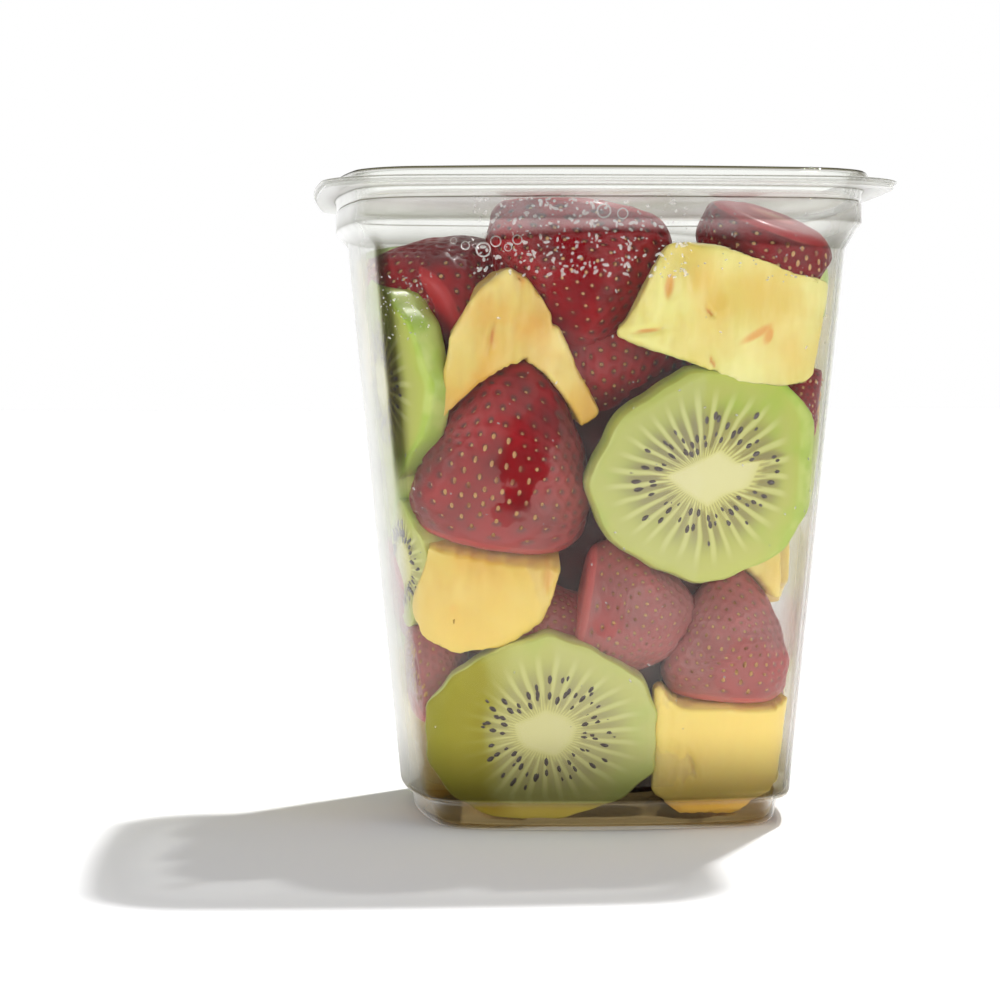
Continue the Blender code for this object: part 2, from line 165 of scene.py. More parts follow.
class Finish(Graph):
    """One material: a Principled shader and whatever feeds it."""

    def __init__(self, name, **constants):
        self.material = bpy.data.materials.new(name)
        self.material.use_nodes = True
        super().__init__(self.material.node_tree)
        self.shader = self.tree.nodes["Principled BSDF"]
        for socket, value in constants.items():
            self.put(self.shader.inputs[socket.replace("_", " ")], value)

    def feed(self, socket, value):
        self.put(self.shader.inputs[socket], value)

    def place(self):
        return self.node("ShaderNodeTexCoord", output="Object")

    def mark(self, name):
        return self.node("ShaderNodeAttribute", {"attribute_name": name}, output="Fac")

    def noise(self, scale, detail, vector=None, stretch=None):
        vector = vector or self.place()
        if stretch:
            vector = self.node("ShaderNodeMapping", None, {0: vector, 3: stretch})
        return self.node("ShaderNodeTexNoise", None, {"Vector": vector, "Scale": scale, "Detail": detail})

    def facing(self):
        """0 where the view meets the skin squarely, towards 1 where it runs along it."""
        return self.node("ShaderNodeLayerWeight", None, {"Blend": 0.5}, output="Facing")

    def layered(self, colour, *layers):
        """A colour with others laid over it in turn, each given as its share and its paint."""
        for share, tint in layers:
            colour = self.blend(share, colour, paint(*tint))
        return colour

    def bump(self, height, distance, strength):
        values = {"Strength": strength, "Distance": distance, "Height": height}
        self.feed("Normal", self.node("ShaderNodeBump", None, values))

    def through(self, colour=(1, 1, 1)):
        """A shader that lets light straight through."""
        return self.node("ShaderNodeBsdfTransparent", None, {"Color": colour})

    def mirror(self, roughness):
        values = {"Color": (1, 1, 1), "Roughness": roughness}
        return self.node("ShaderNodeBsdfGlossy", None, values)

    def principled(self):
        return Wire(self, self.shader.outputs[0])

    def mixed(self, share, first, second):
        """Two shaders in one: the second takes this share."""
        return self.node("ShaderNodeMixShader", None, {0: share, 1: first, 2: second})

    def show(self, shader):
        self.put(self.tree.nodes["Material Output"].inputs["Surface"], shader)

    def low_down(self):
        """1 low in the cup and 0 in its upper part."""
        height = self.node("ShaderNodeSeparateXYZ", None, {0: self.place()}, output=2)
        return 1.0 - height.step(0.03, 0.10)

    def wetted(self, colour, deep=0.08, size=260.0, uneven=0.12):
        """Where juice joins the fruit to the wall nothing mirrors, and this colour shows.

        deep is how far the fruit must be pressed for that, as a share of PRESS_FULL."""
        values = {"Base Color": colour, "Specular IOR Level": 0.0, "Roughness": 0.6}
        wet = self.node("ShaderNodeBsdfPrincipled", None, values)
        ragged = (self.noise(size, 3.0) - 0.5) * uneven
        contact = self.mark("contact")
        factor = (contact + ragged).step(deep - 0.04, deep + 0.08) * contact.step(0.0, deep)
        self.show(self.mixed(factor, self.principled(), wet))


def paint(red, green, blue):
    """A screen colour of 0 to 255 a channel, as the linear values that shaders take."""
    channels = []
    for value in (red, green, blue):
        share = value / 255
        channels.append(share / 12.92 if share <= 0.04045 else ((share + 0.055) / 1.055) ** 2.4)
    return tuple(channels)


# %% [markdown]
# ## Floor and light
#
# The cup stands on a bright pale floor in a white studio. One small strong light, high at
# the right and behind, gives the shadow that falls left and forward. Two large soft lights
# near the front fill the fruit, and a weak one lies low before the foot. The world is
# white at the sides and behind, and dark around the camera, so that the flat front wall
# mirrors darkness and stays clear.

# %% Floor, lamps and world
FLOOR_SIZE = 24.0
FLOOR_DROP = 0.05 * MM
FLOOR_SHADES = ((0.93, 0.93, 0.93), (0.95, 0.95, 0.95))
KEY_AIM = (-42.5, -64.0, -128.0)
KEY_STRENGTH = 3.0
KEY_ANGLE = 2.5
WORLD_FILL = (0.30, 0.30, 0.312)
# What the cup mirrors: pale at the sides and behind, dark around the camera
MIRRORED_STOPS = ((0.55, (0.9, 0.9, 0.9)), (0.9, (0.08, 0.08, 0.085)))
CAMERA_WAY = (-0.1, -0.99, 0.0)


def add_floor():
    bpy.ops.mesh.primitive_plane_add(size=FLOOR_SIZE, location=(0, 0, -FLOOR_DROP))
    floor = bpy.context.object
    floor.name = "floor"
    pale = Finish("pale floor", Roughness=0.85, Specular_IOR_Level=0.1)
    pale.feed("Base Color", pale.blend(pale.noise(3.0, 2.0), *FLOOR_SHADES))
    floor.data.materials.append(pale.material)


def add_lamp(name, place, size, power, aim=(0, 0, 0.065)):
    lamp = bpy.data.objects.new(name, bpy.data.lights.new(name, "AREA"))
    bpy.context.scene.collection.objects.link(lamp)
    lamp.location = place
    lamp.data.shape = "RECTANGLE"
    lamp.data.size, lamp.data.size_y = size
    lamp.data.energy = power
    lamp.rotation_euler = (Vector(aim) - Vector(place)).to_track_quat("-Z", "Y").to_euler()
    return lamp


def add_sun():
    sun = bpy.data.objects.new("key", bpy.data.lights.new("key", "SUN"))
    bpy.context.scene.collection.objects.link(sun)
    sun.data.energy = KEY_STRENGTH
    sun.data.angle = math.radians(KEY_ANGLE)
    sun.rotation_euler = Vector(KEY_AIM).to_track_quat("-Z", "Y").to_euler()


def add_world():
    world = bpy.data.worlds.new("studio")
    bpy.context.scene.world = world
    world.use_nodes = True
    sky = Graph(world.node_tree)
    way = sky.node("ShaderNodeTexCoord", output="Generated")
    settings = {"operation": "DOT_PRODUCT"}
    toward = sky.node("ShaderNodeVectorMath", settings, {0: way, 1: CAMERA_WAY}, output="Value")
    mirrored = sky.node("ShaderNodeValToRGB", {"stops": MIRRORED_STOPS}, {0: toward})
    light = sky.blend(sky.ray("Glossy"), WORLD_FILL, mirrored)
    light = sky.blend(sky.ray("Camera"), light, (1.0, 1.0, 1.0))
    sky.put(sky.tree.nodes["Background"].inputs[0], light)


add_floor()
add_sun()
add_lamp("fill left", (-0.72, -0.68, 0.22), (0.8, 0.36), 4.9)
add_lamp("fill right", (0.68, -0.66, 0.20), (0.7, 0.34), 3.3)
low_lamp = add_lamp("fill low", (0.1, -0.6, 0.025), (0.5, 0.05), 0.45, aim=(0, 0, 0.02))
low_lamp.visible_camera = False
low_lamp.visible_glossy = False
add_world()
scene = bpy.context.scene
scene.view_settings.view_transform = "Standard"
scene.view_settings.look = "None"
scene.cycles.use_denoising = True
scene.cycles.max_bounces = 14
scene.cycles.transparent_max_bounces = 32
scene.cycles.caustics_reflective = False
scene.cycles.caustics_refractive = False

# %% [markdown]
# ## Outline of the cup
#
# Seen from above the cup is a square whose sides bow outwards and whose corners are
# arcs that leave the sides smoothly. A rounded square could be a bevelled plane, but its
# sides would be straight, so the outline is worked out from two tangent circles.

# %% Outline and levels
HEIGHT = 132.6 * MM
LID_HALF = 59.0 * MM
MOUTH_HALF = 54.3 * MM
BODY_TOP_HALF = 51.9 * MM
BODY_BASE_HALF = 40.9 * MM
FOOT_HALF = 38.6 * MM
WALL = 0.8 * MM
FLOOR_Z = 0.9 * MM
RIDGE_Z = 6.6 * MM
SHOULDER_Z = 119.9 * MM
BAND_LOW_Z = 122.3 * MM
BAND_MID_Z = 126.6 * MM
RIM_Z = 128.9 * MM
CORNER_RADIUS = 14.5 * MM
FACE_BOW = 3.8 * MM
CORNER_DROP = 2.7 * MM
SMOOTH_ANGLE = math.radians(40)
# Upright dark lines painted in the corners of the wall, for the light that the bent plastic turns away:
# quarter of the outline, point in it, strength
CORNER_LINES = (
    (0, 34, 0.6), (1, 30, 0.4), (2, 30, 0.4),
    (3, 25, 0.5), (3, 26, 0.9), (3, 27, 0.95), (3, 28, 0.8), (3, 29, 0.6),
)
CORNER_LINE_RINGS = (14, 19)


def outline(half, corner, bow, side_points=25, corner_points=13):
    """A square of bowed sides joined by tangent corner arcs, anticlockwise from the front left."""
    side_radius = (half - corner) ** 2 / (2 * bow)
    drop = side_radius - half
    root = math.sqrt(2 * (side_radius - corner) ** 2 - drop**2)
    reach = (root - drop) / 2
    swing = math.atan2(reach, reach + drop)
    quarter = []
    for step in range(side_points):
        angle = swing * (2 * step / (side_points - 1) - 1)
        quarter.append((side_radius * math.sin(angle), drop - side_radius * math.cos(angle)))
    for step in range(1, corner_points):
        angle = swing + (math.pi / 2 - 2 * swing) * step / corner_points
        quarter.append((reach + corner * math.sin(angle), -reach - corner * math.cos(angle)))
    points = []
    for turn in range(4):
        cosine, sine = round(math.cos(turn * math.pi / 2)), round(math.sin(turn * math.pi / 2))
        points += [(cosine * x - sine * y, sine * x + cosine * y) for x, y in quarter]
    return points


def ring(half, height, corner=CORNER_RADIUS, bow=FACE_BOW, corner_drop=0.0):
    """One level of a wall. corner_drop lowers it towards the four corners."""
    points = []
    for x, y in outline(half, corner, bow):
        toward_corner = math.sin(2 * math.atan2(y, x)) ** 2
        points.append(Vector((x, y, height - corner_drop * toward_corner)))
    return points


def between(low, high, share):
    return [a.lerp(b, share) for a, b in zip(low, high)]


def select_only(item):
    bpy.ops.object.select_all(action="DESELECT")
    item.select_set(True)
    bpy.context.view_layer.objects.active = item


def set_marks(item, **marks):
    """Keeps numbers on the points of a mesh, under the names that the finishes read."""
    for name, values in marks.items():
        mark = item.data.attributes.get(name) or item.data.attributes.new(name, "FLOAT", "POINT")
        mark.data.foreach_set("value", np.asarray(values, dtype=np.float32))


def select_end_faces(item):
    """Selects only the faces of more than four sides, in edit mode."""
    bpy.ops.mesh.select_all(action="DESELECT")
    shape = bmesh.from_edit_mesh(item.data)
    for face in shape.faces:
        face.select_set(len(face.verts) > 4)
    bmesh.update_edit_mesh(item.data)


def place_of(spot, level):
    """Which place of a level a point lies on."""
    return min(range(len(level)), key=lambda index: (level[index] - spot).length_squared)


def raise_wall(name, rings, creases=None, lines=(), frosted=()):
    """A primitive circle laid on the first ring, then extruded to each ring in turn.

    creases gives, ring by ring, how dark a line the crease there shows, and lines the same
    for the upright lines in the corners; frosted lists the misted rings."""
    count = len(rings[0])
    bpy.ops.mesh.primitive_circle_add(vertices=count, radius=1.0, fill_type="NGON")
    item = bpy.context.object
    item.name = name
    bpy.ops.object.mode_set(mode="EDIT")
    bpy.ops.mesh.select_mode(type="VERT")
    bpy.ops.mesh.select_all(action="SELECT")
    for number, level in enumerate(rings):
        if number:
            bpy.ops.mesh.extrude_region_move()
        shape = bmesh.from_edit_mesh(item.data)
        for point in shape.verts:
            if point.select:
                point.co = level[place_of(point.co, rings[number - 1]) if number else point.index]
        bmesh.update_edit_mesh(item.data)
    bpy.ops.mesh.select_all(action="SELECT")
    bpy.ops.mesh.normals_make_consistent(inside=False)
    bpy.ops.object.mode_set(mode="OBJECT")
    bpy.ops.object.shade_smooth_by_angle(angle=SMOOTH_ANGLE)
    strengths = np.zeros(len(rings))
    for number, strength in (creases or {}).items():
        strengths[number] = strength
    dark = np.repeat(strengths, count)
    upright = {quarter * count // 4 + place: strength for quarter, place, strength in lines}
    for number in range(*CORNER_LINE_RINGS) if lines else ():
        for index in range(number * count, (number + 1) * count):
            place = place_of(item.data.vertices[index].co, rings[number])
            dark[index] = max(dark[index], upright.get(place, 0.0))
    frost = np.repeat([float(number in frosted) for number in range(len(rings))], count)
    set_marks(item, crease=dark, frost=frost)
    print(name, len(item.data.vertices), "points")
    return item


# %% [markdown]
# ## Clear plastic
#
# A wall half a millimetre thick hardly bends the light that crosses it, so real
# refraction would cost much time for little. Each skin lets light straight through and
# mirrors a share of it that grows towards grazing. A Fresnel node would turn the inner
# skin into a full mirror, so Layer Weight's Facing gives the share. The plastic also takes
# a grey-green tint, and goes milky, where the view runs along the wall. Sharp folds gather
# the light into dark lines, and the bands at the mouth are misted; marks on the points say
# where. The shadow is a little darker than the tint alone would make it.

# %% Clear plastic
WALL_TINT = (0.985, 0.988, 0.978)
EDGE_TINT = paint(196, 200, 184)
# Painted shade: the dark tint of the lines at the folds and in the corners
CREASE_TINT = paint(104, 98, 66)
SHADE_TINT = (0.42, 0.42, 0.42)
BREATH_TINT = (0.93, 0.93, 0.92)


def clear_plastic(name, edge=0.55, shade=0.3):
    clear = Finish(name)
    facing = clear.facing()
    crease = clear.mark("crease") ** 1.5
    smooth = 1.0 - crease
    skin = clear.mixed((facing**5.0) * edge, clear.through(WALL_TINT), clear.through(EDGE_TINT))
    skin = clear.mixed(crease, skin, clear.through(CREASE_TINT))
    skin = clear.mixed(clear.ray("Shadow") * shade, skin, clear.through(SHADE_TINT))
    patch = clear.noise(70.0, 3.0).step(0.3, 0.7)
    milky = (clear.mark("frost") * (0.08 + patch * 0.12) + facing**6.0) * smooth
    breath = clear.node("ShaderNodeBsdfDiffuse", None, {"Color": BREATH_TINT})
    skin = clear.mixed(milky, skin, breath)
    share = 0.006 + (facing**5.0) * smooth * 0.5
    clear.show(clear.mixed(share, skin, clear.mirror(0.04)))
    clear.tree.nodes.remove(clear.shader)
    return clear.material


# %% [markdown]
# ## Cup and lid
#
# Both are thin formed sheets: each wall runs up outside, turns over the flange and comes
# down inside. One circle is extruded from level to level, and its points are set on
# each level's outline, so the skin is closed and one piece, like the real sheet. Most
# levels come from rows: how far out in millimetres from a half width, and the height.


# %% Cup
WALL_STEPS = 8
# How dark the painted lines at the folds of the cup and of the lid show, by the number of the level
CUP_CREASES = {9: 0.8, 4: 0.5, 18: 0.55, 21: 0.6, 24: 1.0, 28: 0.8, 29: 0.5}
LID_CREASES = {11: 0.5, 13: 0.8, 18: 0.95, 19: 1.0, 20: 1.0}
MISTED_BANDS = range(19, 29)


def make_cup():
    base_corner, foot_corner = 11.5 * MM, 11.0 * MM
    low_bow, top_bow = 3.3 * MM, 4.5 * MM
    rim_corner, rim_bow = 19.4 * MM, 1.4 * MM
    rim_half = LID_HALF - 0.7 * MM
    rim_top = RIM_Z + 0.6 * MM
    foot_rows = (
        (-2.2, 0.0, -1.0), (-1.5, 0.12 * MM, -0.6), (-1.0, 0.5 * MM, -0.4), (-0.65, 1.0 * MM, -0.2),
        (-0.5, 1.7 * MM, 0.0), (-0.1, RIDGE_Z - 2.1 * MM, 0.0), (0.3, RIDGE_Z - 1.5 * MM, 0.0),
    )
    outside = [
        ring(FOOT_HALF + out * MM, z, foot_corner + rounder * MM, low_bow)
        for out, z, rounder in foot_rows
    ]
    outside += [
        ring(BODY_BASE_HALF - inset * MM, RIDGE_Z - under * MM, base_corner, low_bow)
        for inset, under in ((0.7, 1.0), (0.2, 0.6), (0.0, 0.0))
    ]
    shoulder = ring(BODY_TOP_HALF, SHOULDER_Z, CORNER_RADIUS, top_bow, CORNER_DROP)
    outside += [between(outside[-1], shoulder, step / WALL_STEPS) for step in range(1, WALL_STEPS)]
    bands = [between(outside[-1], shoulder, 0.96), shoulder]
    bands.append(ring(MOUTH_HALF - 0.9 * MM, BAND_LOW_Z - 1.0 * MM, corner_drop=0.3 * MM))
    band_rows = (
        (-0.3, BAND_LOW_Z - 0.5 * MM), (0.0, BAND_LOW_Z + 0.1 * MM), (0.0, BAND_MID_Z - 0.7 * MM),
        (-0.2, BAND_MID_Z - 0.3 * MM), (-0.6, BAND_MID_Z), (-0.3, BAND_MID_Z + 0.25 * MM),
        (-0.1, BAND_MID_Z + 0.6 * MM), (0.0, RIM_Z - 0.5 * MM), (0.2, RIM_Z - 0.12 * MM), (0.7, RIM_Z),
    )
    bands += [ring(MOUTH_HALF + out * MM, z) for out, z in band_rows]
    bands.append(ring(rim_half, RIM_Z, rim_corner, rim_bow))
    shoulder_in = ring(BODY_TOP_HALF - WALL, SHOULDER_Z, CORNER_RADIUS - WALL, top_bow, CORNER_DROP)
    base_in = ring(BODY_BASE_HALF - WALL, RIDGE_Z + 0.3 * MM, base_corner - WALL, low_bow)
    inner_rows = (
        (0.2 * MM, rim_top), (-0.5 * MM, rim_top - 0.2 * MM), (-WALL, rim_top - 0.7 * MM),
        (-WALL - 0.1 * MM, BAND_MID_Z + 0.6 * MM), (-WALL - 0.6 * MM, BAND_MID_Z),
        (-WALL - 0.1 * MM, BAND_MID_Z - 0.5 * MM), (-WALL, BAND_LOW_Z + 0.3 * MM),
        (-WALL - 0.3 * MM, BAND_LOW_Z - 0.3 * MM),
    )
    inside = [ring(rim_half, rim_top, rim_corner, rim_bow)]
    inside += [ring(MOUTH_HALF + out, z) for out, z in inner_rows]
    inside.append(shoulder_in)
    inside += [between(shoulder_in, base_in, step / WALL_STEPS) for step in range(1, WALL_STEPS + 1)]
    base_half = BODY_BASE_HALF - 0.5 * MM - WALL
    inside.append(ring(base_half, RIDGE_Z - 0.4 * MM, base_corner - WALL, low_bow))
    floor_rows = (
        (0.0, RIDGE_Z - 1.2 * MM, 0.0), (0.5, 1.9 * MM, 0.0), (1.0, 1.2 * MM, 0.0), (2.2, FLOOR_Z, 1.0),
    )
    inside += [
        ring(FOOT_HALF - inset * MM - WALL, z, foot_corner - tighter * MM - WALL, low_bow)
        for inset, z, tighter in floor_rows
    ]
    levels = outside + bands + inside
    cup = raise_wall("cup_wall", levels, CUP_CREASES, CORNER_LINES, MISTED_BANDS)
    cup.data.materials.append(clear_plastic("clear cup plastic"))
    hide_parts("cup")
    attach(cup, "root")


# %% Lid
def make_lid():
    flange_corner, flange_bow = 20.0 * MM, 1.4 * MM
    seat = RIM_Z + 0.9 * MM
    flange_top = seat + 0.7 * MM
    panel_under = RIM_Z - 1.3 * MM
    panel_top = panel_under + 0.7 * MM
    under_rows = (
        (-4.0, panel_under), (-2.6, panel_under + 0.05 * MM), (-2.1, panel_under + 0.4 * MM), (-1.7, seat),
        (-1.2, HEIGHT - 1.2 * MM), (-0.8, HEIGHT - 0.8 * MM), (-0.4, HEIGHT - 0.7 * MM),
        (0.1, HEIGHT - 0.8 * MM), (0.4, HEIGHT - 1.2 * MM), (0.8, seat + 0.3 * MM), (1.1, seat),
    )
    flange_rows = ((-0.3, seat), (0.0, seat + 0.25 * MM), (0.0, flange_top - 0.2 * MM), (-0.3, flange_top))
    top_side_rows = (
        (2.0, flange_top), (1.5, flange_top + 0.2 * MM), (1.1, HEIGHT - 1.0 * MM),
        (0.75, HEIGHT - 0.45 * MM), (0.3, HEIGHT - 0.12 * MM), (-0.4, HEIGHT), (-1.2, HEIGHT - 0.12 * MM),
        (-1.7, HEIGHT - 0.45 * MM), (-2.1, HEIGHT - 1.1 * MM), (-2.6, seat),
        (-2.9, panel_top + 0.5 * MM), (-3.3, panel_top + 0.1 * MM), (-4.2, panel_top),
    )
    levels = [ring(MOUTH_HALF + out * MM, z) for out, z in under_rows]
    levels += [ring(LID_HALF + out * MM, z, flange_corner, flange_bow) for out, z in flange_rows]
    levels += [ring(MOUTH_HALF + out * MM, z) for out, z in top_side_rows]
    lid = raise_wall("lid_sheet", levels, LID_CREASES)
    lid.data.materials.append(clear_plastic("clear lid plastic", edge=0.7, shade=0.75))
    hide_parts("lid")
    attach(lid, "root")


make_cup()
make_lid()

# %% [markdown]
# ## The room inside
#
# Fruit pressed on a clear wall goes flat where it touches. Every point of a piece that
# would pass the wall is moved straight in to it, and a mark on the mesh keeps how far it
# was moved, so that the finish can show the wet, dark contact patch.

# %% Room and pressing
HEAP_TOP_Z = 127.0 * MM
WALL_GAP = 0.35 * MM
FLOOR_GAP = 0.4 * MM
CORE_INSET = 13.0 * MM
CORE_TOP_Z = 100.0 * MM
# How soon the core is at full width, in its upper and in its lower half
CORE_FULLNESS = (1.5, 2.4)
REACH_STEPS = 720
PRESS_FULL = 2.0 * MM
UNIT_OUTLINE = outline(1.0, 0.262, 0.085)


def outline_reaches():
    """How far the outline of a cup of half width 1 lies from its axis, angle by angle."""
    points = np.array(UNIT_OUTLINE)
    angles = np.arctan2(points[:, 1], points[:, 0])
    order = np.argsort(angles)
    spread = np.hypot(points[:, 0], points[:, 1])[order]
    angles = angles[order]
    wanted = np.linspace(-math.pi, math.pi, REACH_STEPS)
    return wanted, np.interp(wanted, angles, spread, period=2 * math.pi)


REACH_ANGLES, REACHES = outline_reaches()


def room_levels():
    """Height and half width at each bend of the cup's inside."""
    foot = FOOT_HALF - WALL - 1.0 * MM
    base = BODY_BASE_HALF - WALL
    slope = (BODY_TOP_HALF - BODY_BASE_HALF) / (SHOULDER_Z - RIDGE_Z)
    shoulder = SHOULDER_Z - CORNER_DROP
    widest = base + slope * (shoulder - RIDGE_Z)
    return (
        (FLOOR_Z + FLOOR_GAP, foot - 1.4 * MM),
        (FLOOR_Z + 1.6 * MM, foot),
        (RIDGE_Z - 1.5 * MM, foot),
        (RIDGE_Z + 0.6 * MM, base),
        (shoulder, widest),
        (HEAP_TOP_Z, widest),
    )


ROOM_Z, ROOM_HALF = (np.array(column) for column in zip(*room_levels()))


def room_half(z):
    return np.interp(z, ROOM_Z, ROOM_HALF)


def pressed(points, gap):
    """Points held inside the cup by a gap, and how far each was moved."""
    z = np.clip(points[:, 2], FLOOR_Z + FLOOR_GAP, HEAP_TOP_Z)
    distance = np.hypot(points[:, 0], points[:, 1])
    reach = np.interp(np.arctan2(points[:, 1], points[:, 0]), REACH_ANGLES, REACHES)
    scale = np.minimum(1.0, (room_half(z) * reach - gap) / np.maximum(distance, 1e-6))
    moved = np.stack([points[:, 0] * scale, points[:, 1] * scale, z], axis=1)
    return moved, np.linalg.norm(moved - points, axis=1)


# %% [markdown]
# ## Where each piece lies
#
# The heap repeats the solid heap's own places: the pieces on the front are listed one by one,
# and the other sides and the top follow one rule with a seeded draw, so the looks and the
# solids agree.

# %% Places of the fruit
SEED = 23
SIDE_TURNS = {"front": 0, "right": 1, "back": 2, "left": 3}
BLOCK = ((-15, -12), (14, -14), (17, 10), (-12, 14))
WEDGE = ((-19, -8), (17, -13), (20, 4), (2, 13), (-17, 8))
TRIANGLE = ((-16, -13), (16, -9), (9, 14), (-8, 16))
BROAD = (
    (-22.2, -3), (-3.2, -10.2), (4.8, -12.3), (13, -13.8), (19, -12.7), (23, 7), (8, 11.3),
    (-0.3, 14.2), (-8.4, 15.8), (-12, 15.2), (-19.6, 0),
)
LEANING = ((-15, -18), (12.9, -17.8), (18, -13.9), (7.6, 8), (3, 14), (-1, 16), (-7, 11), (-12.5, 2))
ROUNDED = (
    (-15.7, -6.5), (-12.7, -11.3), (-5.7, -13.3), (3.3, -12.5), (11.3, -7.5), (14.3, -1.8),
    (16.9, 8), (12, 6.5), (0, 7.5), (-9.3, 11.5),
)
LOWEST = ((-13.5, -9), (-6, -13.4), (7, -14), (13.5, -9), (16.5, 10), (8, 9), (-4, 9), (-12.5, 13))
SMALL = ((-8, -9), (6, -9), (5, 7), (-7, 8))
LAYER_GAP = 0.05 * MM
# Each row: kind, across, height, depth of its middle, turn, lean, spin, sizes.
# Lengths are in millimetres and angles in degrees
FRONT = (
    ("chunk", 22.0, 103.5, 8.0, 0, 0, 0, (BROAD,)),
    ("slice", 17.8, 72.0, 5.7, 0, 0, 0, (47.0, 42.5)),
    ("slice", -13.3, 20.8, 5.7, 0, 0, 0, (47.5, 37.5)),
    ("slice", -46.0, 90.5, 14.0, 0, 0, -60, (38.0, 41.0)),
    ("berry", -20.0, 77.2, 11.8, 8, 9, 0, (36.5, 37.5)),
    ("berry", -7.0, 110.5, 16.5, 188, -12, 0, (37.0, 31.0)),
    ("chunk", -20.0, 99.0, 12.0, 0, 6, 0, (LEANING,)),
    ("chunk", -25.5, 50.5, 8.3, 0, 0, 0, (ROUNDED,)),
    ("berry", 7.0, 43.5, 12.0, 100, 0, 0, (28.0, 26.0)),
    ("berry", 25.0, 40.0, 11.0, 4, 0, 0, (26.0, 27.5)),
    ("chunk", 21.5, 17.5, 8.3, 0, 0, 0, (LOWEST,)),
    ("berry", -34.0, 109.0, 21.0, 60, 0, 0, (25.0, 31.0)),
    ("berry", 29.5, 112.5, 14.0, 200, 0, -30, (28.0, 24.0)),
    ("berry", -35.5, 34.0, 14.0, 20, 0, 0, (19.0, 24.0)),
    ("slice", -40.0, 54.5, 15.0, 0, 6, -50, (25.0, 27.0)),
    ("chunk", 29.5, 56.0, 13.0, 0, 0, 0, (SMALL,)),
    ("berry", 38.0, 86.5, 11.0, 40, 0, 0, (16.0, 17.0)),
    ("berry", 1.5, 95.0, 23.0, 90, 0, 0, (32.0, 34.0)),
    ("berry", 0.5, 80.0, 19.0, 10, 0, 0, (22.0, 26.0)),
    ("berry", -8.0, 39.0, 15.0, 80, 0, 0, (24.0, 24.0)),
    ("berry", 32.0, 64.0, 28.0, 150, 0, 50, (27.0, 29.0)),
    ("berry", 31.0, 25.0, 27.0, 20, 0, 40, (23.0, 27.0)),
)
# Middles of the layers at the other sides and of the uppermost pieces. The pieces at two
# sides stand closer together and further back, so that the front corners stay clear, and
# those at the right side stand a little further in
LEVELS = (19, 41, 62, 82, 100)
TOP_LEVEL = 109
SIDE_SPREAD = {"right": 0.68, "back": 1.0, "left": 0.76}
BACK_SHIFT = {"right": 16.5, "back": 0.0, "left": -12.0}
SIDE_INSET = {"right": 2.5, "back": 0.0, "left": 0.0}
# From one piece to the next in a layer of two or three, as a share of the half width
SPACING = {2: 0.92, 3: 0.62}
TOP_LEAN = 80


def other_rows(draw):
    """Rows for the sides that do not face front, by one rule with a seeded draw."""
    rows = []
    for side in ("right", "back", "left"):
        deck = ["slice", "chunk", "berry", "chunk", "berry", "slice"] * 2
        draw.shuffle(deck)
        for level, height in enumerate(LEVELS):
            count = 2 + level % 2
            spacing = float(room_half(height * MM)) / MM * SPACING[count]
            for place in range(count):
                kind = deck[(3 * level + place) % len(deck)]
                across = (place - (count - 1) / 2) * spacing + draw.uniform(-2, 2)
                turn = draw.uniform(0, 360)
                if kind == "slice":
                    sizes = (draw.uniform(38, 46), draw.uniform(38, 44))
                    depth, turn = draw.uniform(5.7, 7), 0
                elif kind == "berry":
                    sizes = (draw.uniform(26, 32), draw.uniform(30, 37))
                    depth = 0.36 * sizes[0]
                else:
                    sizes = (draw.choice((BLOCK, WEDGE, TRIANGLE)),)
                    depth = draw.uniform(7.5, 10)
                lean = draw.uniform(-10, 10)
                across = across * SIDE_SPREAD[side] + BACK_SHIFT[side]
                depth += SIDE_INSET[side]
                middle = height + draw.uniform(-3, 3)
                rows.append((kind, side, across, middle, depth, turn, lean, 0, sizes))
    return rows


def top_rows(draw):
    """Rows for the pieces that lie uppermost, under the lid."""
    rows = []
    kinds = ["berry", "chunk", "slice", "berry", "chunk", "berry", "slice", "chunk", "berry"]
    for index, kind in enumerate(kinds):
        x = (index % 3 - 1) * 27 + draw.uniform(-3, 3)
        y = (index // 3 - 1) * 25 + 6 + draw.uniform(-3, 3)
        turn = draw.uniform(0, 360)
        if kind == "slice":
            sizes = (40.0, 42.0)
        elif kind == "berry":
            sizes = (30.0, 34.0)
        else:
            sizes = (draw.choice((BLOCK, WEDGE)),)
        height, lean = TOP_LEVEL + draw.uniform(-2, 2), TOP_LEAN + draw.uniform(-12, 12)
        rows.append((kind, x, y, height, turn, lean, sizes))
    return rows


def wall_frame(side, across, height, depth):
    """Axes at the wall of one side: X along it, Y into the cup, Z up the slope."""
    lean = math.atan((BODY_TOP_HALF - BODY_BASE_HALF) / (SHOULDER_Z - RIDGE_Z))
    bow = FACE_BOW * (across / (BODY_BASE_HALF - CORNER_RADIUS)) ** 2 * 0.6
    turn = Matrix.Rotation(SIDE_TURNS[side] * math.pi / 2, 4, "Z")
    place = Matrix.Translation((across, bow + depth - float(room_half(height)), height))
    return turn @ place @ Matrix.Rotation(lean, 4, "X")


def turned(turn, lean, spin):
    result = Matrix.Identity(4)
    for angle, axis in ((spin, "Z"), (lean, "X"), (turn, "Y")):
        result = result @ Matrix.Rotation(math.radians(angle), 4, axis)
    return result


